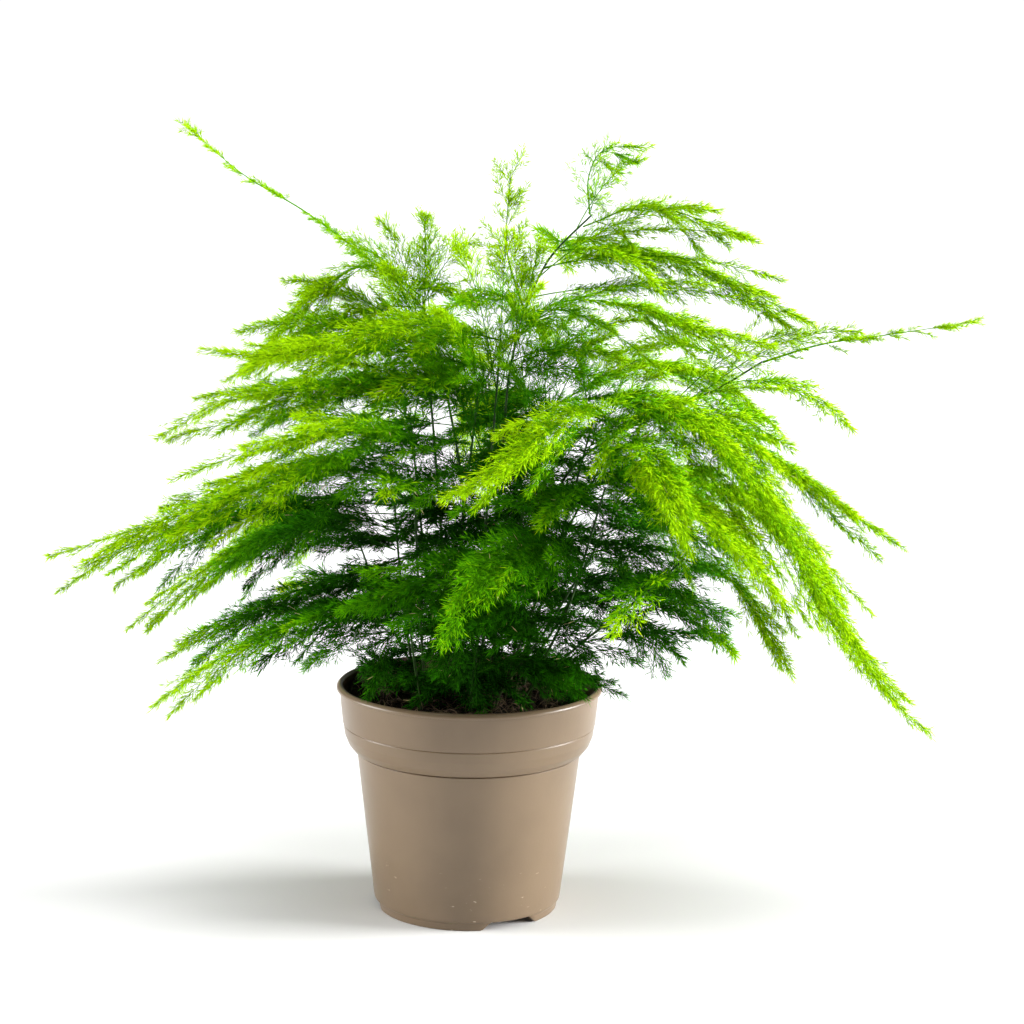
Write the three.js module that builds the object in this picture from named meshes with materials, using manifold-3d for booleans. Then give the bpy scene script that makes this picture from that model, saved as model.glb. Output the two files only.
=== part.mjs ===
// Asparagus fern in a tapered nursery pot. Millimetres, +Z up, the pot stands on z = 0.
// The origin is under the middle of the whole plant's bounding box, so the pot stands a little to one side.
// A shoot is one wiry stem that rises from the root crown and carries one to four flat, feathery fronds.
// Every frond is one thin closed plate with a toothed outline: its ridge follows the frond's midrib and
// its teeth stand for the side sprays.

import * as THREE from 'three';
import { mergeVertices } from 'three/addons/utils/BufferGeometryUtils.js';
import Module from 'manifold-3d';

const wasm = await Module();
wasm.setup();

// ---- driving dimensions -------------------------------------------------------------------------

const GAP = 0.3;                    // air left between two pieces that meet

const POT_HEIGHT = 103.4;
const LIP_RADIUS = 60;              // 12 cm nursery pot, measured over the lip
const LIP_DEPTH = 2.4;
const LIP_OVERHANG = 1.5;
const BAND_BOTTOM = 76.6;           // lower edge of the wide band under the lip
const GROOVE_HEIGHT = 85.5;
const GROOVE_DEPTH = 0.4;
const SHOULDER_BOTTOM = 73.4;       // where the band's sloping shoulder meets the body
const BODY_TOP_RADIUS = 50.6;
const BODY_BOTTOM_RADIUS = 42.2;
const WALL = 1.2;
const FOOT_HEIGHT = 3.8;
const FOOT_RADIUS = 41.2;
const FOOT_WIDTH = 2.4;
const FLOOR_UNDERSIDE = 4;
const FLOOR_TOP = 5.4;
const POT_SEGMENTS = 48;

const NOTCH_COUNT = 3;              // drainage notches cut through the foot ring
const NOTCH_TURN = THREE.MathUtils.degToRad(-30);
const NOTCH_TOP_WIDTH = 19.5;
const NOTCH_FLARE = 4;
const NOTCH_REACH = 16;             // how far a notch is cut across the foot ring, half on either side of it
const DRAIN_COUNT = 8;
const DRAIN_RADIUS = 2.4;
const DRAIN_CIRCLE = 30;
const DRAIN_SIDES = 12;
const DRAIN_CUT = 6;                // longer than the floor is thick

const SOIL_LEVEL = 95;
const SOIL_SEGMENTS = 32;
const SOIL_HIGHEST = 106;
const SOIL_CLEARANCE = 1.5 * GAP;   // between the soil and the pot's wall
const HEAP_HEIGHT = 11;
const HEAP_PLACE = [-38, 22];
const HEAP_WIDTH = 15;

const CROWN_CENTRE = new THREE.Vector3(1, 3, 74);
const CROWN_RADII = new THREE.Vector3(33, 31, 9);
const ROOT_COUNT = 7;
const ROOT_LENGTH = 46;
const ROOT_FOOT_RADIUS = 4.5;
const ROOT_TIP_RADIUS = 1.6;
const ROOT_SIDES = 6;
const ROOT_STEPS = 4;

const STEM_FOOT_RADIUS = 0.95;
const STEM_TOP_RADIUS = 0.55;
const STEM_SIDES = 6;
const STEM_STEPS = 9;
const STEM_SEAT = 2 * GAP + 0.2;    // height of a stem's foot above the crown
const STEM_COLLAR = 3;              // height above the soil where a stem stands upright

const FROND_STEPS = 11;
const FROND_RIDGE = 0.8;            // height of the midrib above the plate's edges
const FROND_KEEL = 0.5;             // depth of the midrib below them
const FROND_RIB = 0.9;              // half width of the plate at its ends
const FROND_OFF_TIP = 1.6;          // where a frond starts, measured from its stem's tip
const FROND_OFF_SIDE = 2.6;         // and from a stem's side

// ---- finishes -----------------------------------------------------------------------------------

const potFinish = { color: 0xb39b82, roughness: 0.42, metalness: 0 };
const soilFinish = { color: 0x2c2015, roughness: 0.95, metalness: 0 };
const rootFinish = { color: 0xcbb892, roughness: 0.8, metalness: 0 };
const stemFinish = { color: 0x3c5a26, roughness: 0.55, metalness: 0 };
const frondFinish = { color: 0x55a51c, roughness: 0.6, metalness: 0 };

// ---- shoots -------------------------------------------------------------------------------------
// Places are measured from the pot's axis. foot is where the stem leaves the crown, bends are the points
// that it passes and its tip. A frond leaves the stem at the fraction 'at' of its length and passes the
// points of path up to its tip. spread is the half width of its plate, and face is the way that the
// plate's upper side looks, straight up where it isn't given.

const VIEWER_UP = [0, -0.8, 0.6];
const VIEWER = [0, -1, 0.15];

const shoots = [
  { foot: [-12, 9], bends: [[-4, 14, 176], [-12, 30, 228], [-24, 42, 268], [-42, 50, 284]], fronds: [
    { at: 1, path: [[-61, 58, 298], [-82, 64, 312], [-109, 70, 327], [-135, 75, 348]], spread: 8 },
  ] },
  { foot: [-9, 18], bends: [[-16, 24, 190], [-22, 33, 250], [-24, 36, 274]], fronds: [
    { at: 1, path: [[-46, 30, 289], [-71, 26, 277], [-97, 22, 250]], spread: 27 },
    { at: 0.93, path: [[-34, 58, 284], [-44, 66, 306]], spread: 15, face: VIEWER },
  ] },
  { foot: [2, -8], bends: [[6, -9, 170], [12, -12, 260]], fronds: [
    { at: 1, path: [[-23, -30, 268], [-56, -44, 262], [-85, -55, 256], [-111, -60, 259]], spread: 34 },
    { at: 0.96, path: [[34, -14, 276], [68, -24, 277], [98, -32, 268], [127, -37, 262]], spread: 22 },
  ] },
  { foot: [-6, -1], bends: [[-6, 0, 150], [2, 4, 234]], fronds: [
    { at: 1, path: [[-30, -16, 243], [-70, -38, 241], [-104, -52, 237], [-130, -62, 222]], spread: 30 },
    { at: 0.85, path: [[-22, -32, 220], [-52, -60, 226], [-88, -80, 220], [-120, -92, 209]], spread: 30 },
  ] },
  { foot: [-20, -8], bends: [[-23, -14, 150], [-25, -22, 198]], fronds: [
    { at: 1, path: [[-62, -50, 209], [-98, -70, 199], [-134, -80, 187], [-172, -85, 175]], spread: 28 },
    { at: 0.72, path: [[-58, -44, 158], [-92, -60, 146], [-129, -66, 128]], spread: 26 },
  ] },
  { foot: [-25, 5], bends: [[-31, 8, 140], [-35, 10, 182]], fronds: [
    { at: 1, path: [[-76, 16, 184], [-122, 18, 172], [-160, 16, 158], [-187, 13, 140]], spread: 24 },
    { at: 0.8, path: [[-72, 52, 166], [-110, 70, 151], [-141, 78, 130], [-166, 80, 109]], spread: 20 },
  ] },
  { foot: [-21, -21], bends: [[-24, -26, 118], [-27, -32, 146]], fronds: [
    { at: 1, path: [[-54, -66, 152], [-86, -92, 143], [-109, -101, 131], [-128, -101, 116]], spread: 26 },
    { at: 0.72, path: [[-35, -42, 130], [-43, -55, 108]], spread: 7, face: [-0.4, -0.9, 0.2] },
  ] },
  { foot: [12, -16], bends: [[32, -21, 130], [52, -27, 166]], fronds: [
    { at: 1, path: [[34, -66, 180], [8, -102, 174], [-9, -121, 148]], spread: 34, face: VIEWER_UP },
    { at: 0.86, path: [[22, -52, 164], [-10, -78, 168], [-52, -88, 154]], spread: 28, face: VIEWER_UP },
  ] },
  { foot: [16, -3], bends: [[36, -7, 160], [60, -16, 212]], fronds: [
    { at: 1, path: [[54, -50, 235], [29, -84, 228], [5, -105, 213], [-9, -115, 206]], spread: 30 },
    { at: 0.93, path: [[70, -56, 222], [82, -86, 210], [91, -94, 182]], spread: 28 },
  ] },
  { foot: [8, 3], bends: [[18, 0, 160], [36, -6, 232]], fronds: [
    { at: 1, path: [[76, -36, 238], [114, -58, 212], [140, -70, 176], [162, -70, 141], [182, -60, 113],
      [200, -50, 96]], spread: 36 },
  ] },
  { foot: [21, 12], bends: [[36, 18, 150], [54, 22, 220]], fronds: [
    { at: 1, path: [[102, 30, 226], [145, 35, 205], [173, 35, 188], [196, 35, 177]], spread: 26 },
    { at: 0.78, path: [[84, 52, 192], [127, 80, 177], [168, 90, 145], [193, 90, 120]], spread: 26 },
  ] },
  { foot: [27, -5], bends: [[43, -20, 140], [58, -34, 196]], fronds: [
    { at: 1, path: [[88, -68, 200], [114, -84, 184], [134, -90, 160]], spread: 34 },
  ] },
  { foot: [18, 20], bends: [[42, 26, 194], [78, 33, 220], [110, 34, 234], [130, 32, 247]], fronds: [
    { at: 1, path: [[157, 30, 256], [188, 30, 261], [224, 30, 267]], spread: 9 },
  ] },
  { foot: [1, 11], bends: [[12, 12, 186], [17, 20, 248], [31, 25, 290], [51, 30, 312]], fronds: [
    { at: 1, path: [[50, 25, 330], [56, 18, 342], [75, 8, 344]], spread: 15 },
    { at: 0.97, path: [[76, 22, 318], [100, 13, 312], [123, 4, 304]], spread: 20 },
    { at: 0.91, path: [[72, 28, 299], [101, 25, 290], [128, 20, 278], [151, 15, 266]], spread: 19 },
    { at: 0.78, path: [[14, 10, 298], [15, 8, 330]], spread: 16, face: VIEWER },
  ] },
  { foot: [23, -19], bends: [[46, -30, 126], [72, -40, 150], [92, -46, 170]], fronds: [
    { at: 1, path: [[108, -54, 166], [124, -66, 148], [136, -78, 128]], spread: 18 },
    { at: 0.62, path: [[90, -26, 146], [116, -24, 142]], spread: 13 },
    { at: 0.3, path: [[50, -46, 117], [66, -63, 114]], spread: 12 },
  ] },
  { foot: [4, 22], bends: [[12, 40, 160], [30, 56, 218]], fronds: [
    { at: 1, path: [[74, 80, 240], [115, 96, 232], [148, 104, 206]], spread: 30 },
    { at: 0.8, path: [[16, 88, 214], [6, 128, 218], [-2, 162, 196], [-6, 182, 166]], spread: 34 },
  ] },
  { foot: [-13, 26], bends: [[-22, 42, 150], [-30, 58, 214]], fronds: [
    { at: 1, path: [[-64, 84, 244], [-94, 100, 244], [-122, 112, 226]], spread: 32 },
  ] },
  { foot: [25, 25], bends: [[42, 50, 124], [60, 70, 158]], fronds: [
    { at: 1, path: [[90, 104, 168], [120, 130, 158], [142, 148, 130]], spread: 30 },
  ] },
  { foot: [-24, 19], bends: [[-40, 44, 124], [-54, 66, 154]], fronds: [
    { at: 1, path: [[-78, 104, 166], [-103, 134, 154], [-124, 154, 126]], spread: 30 },
  ] },
  { foot: [1, -23], bends: [[2, -32, 112], [4, -42, 130]], fronds: [
    { at: 1, path: [[-2, -64, 140], [-12, -84, 128]], spread: 22, face: VIEWER_UP },
    { at: 0.7, path: [[24, -48, 126], [50, -58, 112]], spread: 16 },
  ] },
];

// ---- closed bodies made of rings ----------------------------------------------------------------

/** Six times the signed volume of a list of triangles: positive where the faces point out. */
function signedVolume(points, triangles) {
  let sum = 0;
  for (const [a, b, c] of triangles) {
    sum += points[a].dot(points[b].clone().cross(points[c]));
  }
  return sum;
}

/**
 * A closed body: rings of equal point counts skinned in order, shut by one apex at each end. The diagonals
 * of neighbouring strips mirror each other, so the two faces of a thin bent plate stay parallel.
 */
function skin(rings, firstApex, lastApex) {
  const sides = rings[0].length;
  const points = [firstApex, ...rings.flat(), lastApex];
  const last = points.length - 1;
  let triangles = [];
  for (let j = 0; j < sides; j++) {
    const next = (j + 1) % sides;
    const top = 1 + (rings.length - 1) * sides;
    triangles.push([0, 1 + next, 1 + j]);
    triangles.push([last, top + j, top + next]);
    for (let i = 0; i + 1 < rings.length; i++) {
      const low = 1 + i * sides;
      const high = low + sides;
      const [a, b, c, d] = [low + j, low + next, high + next, high + j];
      if (j % 2 === 0) {
        triangles.push([a, b, c], [a, c, d]);
      } else {
        triangles.push([a, b, d], [b, c, d]);
      }
    }
  }
  if (signedVolume(points, triangles) < 0) {
    triangles = triangles.map(([a, b, c]) => [a, c, b]);
  }
  const geometry = new THREE.BufferGeometry();
  geometry.setAttribute('position', new THREE.Float32BufferAttribute(points.flatMap((p) => p.toArray()), 3));
  geometry.setIndex(triangles.flat());
  return geometry;
}

/** A manifold solid with the shape of a closed geometry. */
function solidOf(geometry) {
  const bare = geometry.clone();
  bare.deleteAttribute('normal');
  bare.deleteAttribute('uv');
  const welded = mergeVertices(bare, 1e-4);
  const vertProperties = new Float32Array(welded.attributes.position.array);
  const triVerts = new Uint32Array(welded.index.array);
  return new wasm.Manifold(new wasm.Mesh({ numProp: 3, vertProperties, triVerts }));
}

/** The geometry of a manifold solid. */
function geometryOf(solid) {
  const mesh = solid.getMesh();
  const geometry = new THREE.BufferGeometry();
  geometry.setAttribute('position', new THREE.Float32BufferAttribute(mesh.vertProperties, 3));
  geometry.setIndex(Array.from(mesh.triVerts));
  return geometry;
}

/** A tapered tube along a curve, pointed at both ends; grow makes it that much thicker all round. */
function taperedTube(curve, footRadius, topRadius, sides, steps, grow = 0) {
  const rings = [];
  for (let i = 0; i <= steps; i++) {
    const t = i / steps;
    const centre = curve.getPointAt(t);
    const tangent = curve.getTangentAt(t);
    const across = new THREE.Vector3(0, 1, 0).cross(tangent).normalize();
    const other = tangent.clone().cross(across);
    const radius = footRadius + (topRadius - footRadius) * t + grow;
    const ring = [];
    for (let j = 0; j < sides; j++) {
      const turn = (2 * Math.PI * j) / sides;
      ring.push(centre.clone()
        .addScaledVector(across, radius * Math.cos(turn))
        .addScaledVector(other, radius * Math.sin(turn)));
    }
    rings.push(ring);
  }
  const firstApex = curve.getPointAt(0).addScaledVector(curve.getTangentAt(0), -0.2 - grow);
  const lastApex = curve.getPointAt(1).addScaledVector(curve.getTangentAt(1), 0.2 + grow);
  return skin(rings, firstApex, lastApex);
}

/** Share of the full half width that a frond has at the fraction t of its length. */
function frondOutline(t) {
  const opening = Math.min(1, t / 0.36) ** 1.5;
  return opening * (1 - t) ** 0.65;
}

/** A toothed plate along a curve, with a ridge above and a keel below, pointed at both ends. */
function frondPlate(curve, spread, face, grow = 0) {
  const rings = [];
  for (let i = 0; i < FROND_STEPS; i++) {
    const t = i / FROND_STEPS;
    const centre = curve.getPointAt(t);
    const tangent = curve.getTangentAt(t);
    const across = tangent.clone().cross(face).normalize();
    const up = across.clone().cross(tangent).normalize();
    const tooth = i % 2 === 1 ? 1 : 0.5;
    const half = FROND_RIB + spread * frondOutline(t) * tooth + grow;
    const taper = 1 - 0.5 * t;
    rings.push([
      centre.clone().addScaledVector(across, half),
      centre.clone().addScaledVector(up, FROND_RIDGE * taper + grow),
      centre.clone().addScaledVector(across, -half),
      centre.clone().addScaledVector(up, -FROND_KEEL * taper - grow),
    ]);
  }
  const firstApex = curve.getPointAt(0).addScaledVector(curve.getTangentAt(0), -0.4);
  return skin(rings, firstApex, curve.getPointAt(1));
}

// ---- pot ----------------------------------------------------------------------------------------

/** Outer radius of the body below the shoulder. */
function bodyRadius(z) {
  const share = (z - FOOT_HEIGHT) / (SHOULDER_BOTTOM - FOOT_HEIGHT);
  return BODY_BOTTOM_RADIUS + (BODY_TOP_RADIUS - BODY_BOTTOM_RADIUS) * share;
}

const lipUnderside = POT_HEIGHT - LIP_DEPTH;
const bandTopRadius = LIP_RADIUS - LIP_OVERHANG;
const bandBottomRadius = BODY_TOP_RADIUS + 4;
const bandMiddleRadius = bandBottomRadius + 1.6;
const grooveRadius = bandMiddleRadius + 0.7;

/** The pot's wall, floor and foot ring turned about its axis, with notches and drainage holes cut out. */
function potGeometry() {
  const shoulderInner = SHOULDER_BOTTOM + 0.6;
  const outline = [
    [0, FLOOR_UNDERSIDE],
    [FOOT_RADIUS - FOOT_WIDTH, FLOOR_UNDERSIDE],
    [FOOT_RADIUS - FOOT_WIDTH, 0],
    [FOOT_RADIUS - 0.3, 0],
    [FOOT_RADIUS, FOOT_HEIGHT - 0.2],
    [BODY_BOTTOM_RADIUS, FOOT_HEIGHT + 0.3],
    [BODY_TOP_RADIUS, SHOULDER_BOTTOM],
    [BODY_TOP_RADIUS + 1.4, SHOULDER_BOTTOM + 1.1],
    [bandBottomRadius, BAND_BOTTOM],
    [bandMiddleRadius, BAND_BOTTOM + 4],
    [grooveRadius, GROOVE_HEIGHT - 0.7],
    [grooveRadius - GROOVE_DEPTH, GROOVE_HEIGHT],
    [grooveRadius + 0.1, GROOVE_HEIGHT + 0.7],
    [bandTopRadius, lipUnderside - 1],
    [bandTopRadius, lipUnderside],
    [LIP_RADIUS - 0.2, lipUnderside],
    [LIP_RADIUS, lipUnderside + 0.5],
    [LIP_RADIUS - 0.1, POT_HEIGHT - 0.6],
    [LIP_RADIUS - 0.8, POT_HEIGHT],
    [LIP_RADIUS - 2.4, POT_HEIGHT],
    [LIP_RADIUS - 3, POT_HEIGHT - 0.7],
    [bandTopRadius - WALL - 0.3, lipUnderside - 2],
    [bandMiddleRadius - WALL, BAND_BOTTOM + 4.4],
    [BODY_TOP_RADIUS + 1.8, shoulderInner + 1.4],
    [BODY_TOP_RADIUS - WALL, shoulderInner],
    [bodyRadius(FLOOR_TOP) - WALL, FLOOR_TOP],
    [0, FLOOR_TOP],
  ];
  const turned = new THREE.LatheGeometry(outline.map(([r, z]) => new THREE.Vector2(r, z)), POT_SEGMENTS);
  turned.rotateX(Math.PI / 2);
  let pot = solidOf(turned);

  const half = NOTCH_TOP_WIDTH / 2;
  const notchShape = new THREE.Shape([
    new THREE.Vector2(-half - NOTCH_FLARE, -1),
    new THREE.Vector2(half + NOTCH_FLARE, -1),
    new THREE.Vector2(half, FOOT_HEIGHT),
    new THREE.Vector2(-half, FOOT_HEIGHT),
  ]);
  for (let i = 0; i < NOTCH_COUNT; i++) {
    const cutter = new THREE.ExtrudeGeometry(notchShape, { depth: NOTCH_REACH, bevelEnabled: false });
    cutter.rotateX(Math.PI / 2);
    cutter.translate(0, FOOT_RADIUS + NOTCH_REACH / 2, 0);
    cutter.rotateZ(NOTCH_TURN + (2 * Math.PI * i) / NOTCH_COUNT);
    pot = pot.subtract(solidOf(cutter));
  }

  for (let i = 0; i < DRAIN_COUNT; i++) {
    const turn = (2 * Math.PI * (i + 0.5)) / DRAIN_COUNT;
    const cutter = new THREE.CylinderGeometry(DRAIN_RADIUS, DRAIN_RADIUS, DRAIN_CUT, DRAIN_SIDES);
    cutter.rotateX(Math.PI / 2);
    cutter.translate(DRAIN_CIRCLE * Math.cos(turn), DRAIN_CIRCLE * Math.sin(turn), FLOOR_TOP - 1);
    pot = pot.subtract(solidOf(cutter));
  }
  return geometryOf(pot);
}

// ---- root crown and soil ------------------------------------------------------------------------

/** The rootstock: a flat woody crown with thick tapering roots; grow makes it that much bigger. */
function crownSolid(grow = 0) {
  const body = new THREE.SphereGeometry(1, 16, 8);
  body.rotateX(Math.PI / 2);
  body.scale(CROWN_RADII.x + grow, CROWN_RADII.y + grow, CROWN_RADII.z + grow);
  body.translate(CROWN_CENTRE.x, CROWN_CENTRE.y, CROWN_CENTRE.z);
  let crown = solidOf(body);
  for (let i = 0; i < ROOT_COUNT; i++) {
    const turn = (2 * Math.PI * i) / ROOT_COUNT;
    const outward = new THREE.Vector3(Math.cos(turn), Math.sin(turn), 0);
    const reach = ROOT_LENGTH * (1 - 0.25 * (i % 3));
    const route = new THREE.CatmullRomCurve3([
      CROWN_CENTRE.clone().addScaledVector(outward, 12),
      CROWN_CENTRE.clone().addScaledVector(outward, 22).add(new THREE.Vector3(0, 0, -0.4 * reach)),
      CROWN_CENTRE.clone().addScaledVector(outward, 20).add(new THREE.Vector3(0, 0, -reach)),
    ]);
    const thickRoot = taperedTube(route, ROOT_FOOT_RADIUS, ROOT_TIP_RADIUS, ROOT_SIDES, ROOT_STEPS, grow);
    crown = crown.add(solidOf(thickRoot));
  }
  return crown;
}

/** Height of the crown's upper face over a point. */
function crownTop(x, y) {
  const across = ((x - CROWN_CENTRE.x) / CROWN_RADII.x) ** 2 + ((y - CROWN_CENTRE.y) / CROWN_RADII.y) ** 2;
  return CROWN_CENTRE.z + CROWN_RADII.z * Math.sqrt(Math.max(0, 1 - across));
}

/** Height of the soil's surface: level ground with small lumps, and a heap against the wall. */
function soilHeight(x, y) {
  const lumps = 0.9 * Math.sin(0.31 * x + 1.3) * Math.cos(0.27 * y) + 0.7 * Math.sin(0.17 * x - 0.45 * y);
  const away = (x - HEAP_PLACE[0]) ** 2 + (y - HEAP_PLACE[1]) ** 2;
  const heap = HEAP_HEIGHT * Math.exp(-away / (2 * HEAP_WIDTH ** 2));
  return SOIL_LEVEL + lumps + heap;
}

/** The potting soil: fills the pot and is hollowed where the crown and the stems sit in it. */
function soilGeometry(hollows) {
  const wallStations = [
    [bodyRadius(FLOOR_TOP) - WALL, FLOOR_TOP + GAP],
    [BODY_TOP_RADIUS - WALL, SHOULDER_BOTTOM + 0.6],
    [BODY_TOP_RADIUS + 1.8, SHOULDER_BOTTOM + 2],
    [bandMiddleRadius - WALL, BAND_BOTTOM + 4.4],
  ];
  const rimRadius = bandMiddleRadius - WALL;
  const topShares = [1, 0.86, 0.7, 0.52, 0.34, 0.16];
  const ringAt = (radius, height) => Array.from({ length: SOIL_SEGMENTS }, (_, j) => {
    const turn = (2 * Math.PI * j) / SOIL_SEGMENTS;
    const x = radius * Math.cos(turn);
    const y = radius * Math.sin(turn);
    return new THREE.Vector3(x, y, height ?? Math.min(soilHeight(x, y), SOIL_HIGHEST));
  });
  const rings = wallStations.map(([radius, z]) => ringAt(radius - SOIL_CLEARANCE, z));
  for (const share of topShares) {
    rings.push(ringAt((rimRadius - SOIL_CLEARANCE) * share));
  }
  const firstApex = new THREE.Vector3(0, 0, FLOOR_TOP + GAP);
  const lastApex = new THREE.Vector3(0, 0, soilHeight(0, 0));
  let soil = solidOf(skin(rings, firstApex, lastApex));
  for (const hollow of hollows) {
    soil = soil.subtract(hollow);
  }
  return geometryOf(soil);
}

// ---- placing shoots so that none touches another ------------------------------------------------

const placed = [];

/** True where two boxes share some room. */
function boxesMeet(a, b) {
  return a.min.every((low, k) => low <= b.max[k] && b.min[k] <= a.max[k]);
}

/** True where a solid cuts into any placed one; the piece named own is left out. */
function cutsPlaced(solid, own) {
  const box = solid.boundingBox();
  return placed.some((other) => other.name !== own && boxesMeet(box, other.box)
    && solid.intersect(other.solid).volume() > 1e-5);
}

/** Remember a finished piece so that later ones keep clear of it. */
function place(name, solid) {
  placed.push({ name, solid, box: solid.boundingBox() });
}

/** Small moves to try, nearest first: none, then along each axis and diagonal at growing distance. */
function* moves() {
  yield new THREE.Vector3();
  for (let distance = 2.5; distance <= 20; distance += 2.5) {
    for (const z of [1, -1, 0]) {
      for (const y of [0, 1, -1]) {
        for (const x of [0, 1, -1]) {
          if (x !== 0 || y !== 0 || z !== 0) {
            yield new THREE.Vector3(x, y, z).setLength(distance);
          }
        }
      }
    }
  }
}

/** A curve through points whose later ones are moved, the first held where it is. */
function bentCurve(points, move) {
  const last = points.length - 1;
  return new THREE.CatmullRomCurve3(points.map((p, k) => p.clone().addScaledVector(move, k / last)));
}

/** The stem's curve, bent by the smallest move that keeps it clear of the stems already placed. */
function settleStem(shoot) {
  const [x, y] = shoot.foot;
  const foot = new THREE.Vector3(x, y, crownTop(x, y) + STEM_SEAT);
  const collar = new THREE.Vector3(x, y, SOIL_LEVEL + STEM_COLLAR);
  const points = [foot, collar, ...shoot.bends.map((p) => new THREE.Vector3(...p))];
  for (const move of moves()) {
    const curve = bentCurve(points, move);
    const grown = solidOf(taperedTube(curve, STEM_FOOT_RADIUS, STEM_TOP_RADIUS, STEM_SIDES, STEM_STEPS, GAP));
    if (!cutsPlaced(grown)) {
      return curve;
    }
  }
  throw new Error(`no room for the stem with its foot at ${shoot.foot}`);
}

/** The points of a frond's midrib: it starts just clear of its stem and passes the points of its path. */
function frondPoints(stemCurve, frond) {
  const base = stemCurve.getPointAt(frond.at);
  const path = frond.path.map((p) => new THREE.Vector3(...p));
  const outward = path[0].clone().sub(base).normalize();
  const clear = frond.at === 1 ? FROND_OFF_TIP : FROND_OFF_SIDE;
  return [base.addScaledVector(outward, clear), ...path];
}

/** The frond's curve and half width: moved, then narrowed, until it is clear of all placed pieces. */
function settleFrond(stemName, stemCurve, frond) {
  const face = new THREE.Vector3(...(frond.face ?? [0, 0, 1])).normalize();
  const points = frondPoints(stemCurve, frond);
  const ownStem = placed.find((piece) => piece.name === stemName).solid;
  for (let spread = frond.spread; spread > 2; spread *= 0.88) {
    for (const move of moves()) {
      const curve = bentCurve(points, move);
      const grown = solidOf(frondPlate(curve, spread, face, GAP));
      const bare = solidOf(frondPlate(curve, spread, face));
      if (!cutsPlaced(grown, stemName) && bare.intersect(ownStem).volume() === 0) {
        return { curve, spread, face };
      }
    }
  }
  throw new Error(`no room for a frond of ${stemName}`);
}

// ---- assembly -----------------------------------------------------------------------------------

const root = new THREE.Group();

/** Add one named piece to the plant. */
function addPiece(name, geometry, finish) {
  const mesh = new THREE.Mesh(geometry, new THREE.MeshStandardMaterial(finish));
  mesh.name = name;
  root.add(mesh);
}

const pot = potGeometry();
place('pot', solidOf(pot));
addPiece('pot', pot, potFinish);

const hollows = [crownSolid(GAP)];
const stems = shoots.map((shoot, index) => {
  const name = `stem_${String(index + 1).padStart(2, '0')}`;
  const curve = settleStem(shoot);
  const stem = taperedTube(curve, STEM_FOOT_RADIUS, STEM_TOP_RADIUS, STEM_SIDES, STEM_STEPS);
  hollows.push(solidOf(taperedTube(curve, STEM_FOOT_RADIUS, STEM_TOP_RADIUS, STEM_SIDES, STEM_STEPS, GAP)));
  place(name, solidOf(stem));
  addPiece(name, stem, stemFinish);
  return { name, curve, fronds: shoot.fronds };
});

const soil = soilGeometry(hollows);
place('soil', solidOf(soil));
addPiece('soil', soil, soilFinish);
addPiece('root_crown', geometryOf(crownSolid()), rootFinish);

for (const stem of stems) {
  stem.fronds.forEach((frond, index) => {
    const name = `${stem.name.replace('stem', 'frond')}_${'abcd'[index]}`;
    const { curve, spread, face } = settleFrond(stem.name, stem.curve, frond);
    const plate = frondPlate(curve, spread, face);
    place(name, solidOf(plate));
    addPiece(name, plate, frondFinish);
  });
}

const extent = new THREE.Box3().setFromObject(root);
const middle = extent.getCenter(new THREE.Vector3());
root.position.set(-middle.x, -middle.y, -extent.min.z);

export default root;
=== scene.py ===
"""Asparagus fern in a tapered nursery pot.

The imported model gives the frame: where the pot stands, how each stem rises and how each frond lies. This
script grows the plant around it. Every frond gets a midrib, alternate side branches, twigs and clusters of
needles, every stem its spurs and short side shoots, and the pot its moulded lip, band and foot. Lengths are
in metres.
"""

from __future__ import annotations

import logging
import math
from dataclasses import dataclass, field
from enum import Enum

import bpy
import numpy as np
from mathutils import Matrix, Vector

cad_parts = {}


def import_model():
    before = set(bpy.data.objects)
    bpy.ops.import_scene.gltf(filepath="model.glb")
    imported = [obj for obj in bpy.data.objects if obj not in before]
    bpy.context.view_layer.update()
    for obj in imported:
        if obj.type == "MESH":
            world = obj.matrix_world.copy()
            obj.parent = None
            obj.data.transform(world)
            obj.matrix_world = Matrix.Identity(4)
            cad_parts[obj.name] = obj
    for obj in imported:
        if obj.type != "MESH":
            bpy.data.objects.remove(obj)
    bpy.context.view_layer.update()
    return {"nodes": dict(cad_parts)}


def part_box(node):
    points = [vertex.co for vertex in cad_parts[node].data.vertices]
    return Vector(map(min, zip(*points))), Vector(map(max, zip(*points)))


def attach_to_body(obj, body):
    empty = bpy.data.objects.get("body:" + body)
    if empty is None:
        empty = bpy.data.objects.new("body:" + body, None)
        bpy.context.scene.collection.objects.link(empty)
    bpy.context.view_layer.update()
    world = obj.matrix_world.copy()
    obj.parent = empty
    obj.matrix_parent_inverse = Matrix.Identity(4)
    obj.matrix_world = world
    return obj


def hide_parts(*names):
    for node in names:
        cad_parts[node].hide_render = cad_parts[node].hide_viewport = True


MM = 0.001
BODY = "root"
UV_MAP = "OFBake"
Triple = tuple[float, float, float]

WELD = 2e-5
GOLDEN_TURN = 2.4
STEM_SIDES = 6
FROND_SIDES = 4
SOIL_BELOW_LIP = 8.4 * MM
SOIL_RIM = 54.6 * MM
HEART_HEIGHT = 140 * MM
PLANT_REACH = (175 * MM, 120 * MM, 170 * MM)

log = logging.getLogger("fern")


# ---- small mathematics --------------------------------------------------------------------------


def unit(vectors: np.ndarray) -> np.ndarray:
    """Scale each row to length one."""
    return vectors / np.maximum(np.linalg.norm(vectors, axis=-1, keepdims=True), 1e-12)


def mix(a: np.ndarray, b: np.ndarray, share: np.ndarray) -> np.ndarray:
    """Blend a into b by a share from 0 to 1."""
    return a + (b - a) * share


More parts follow.
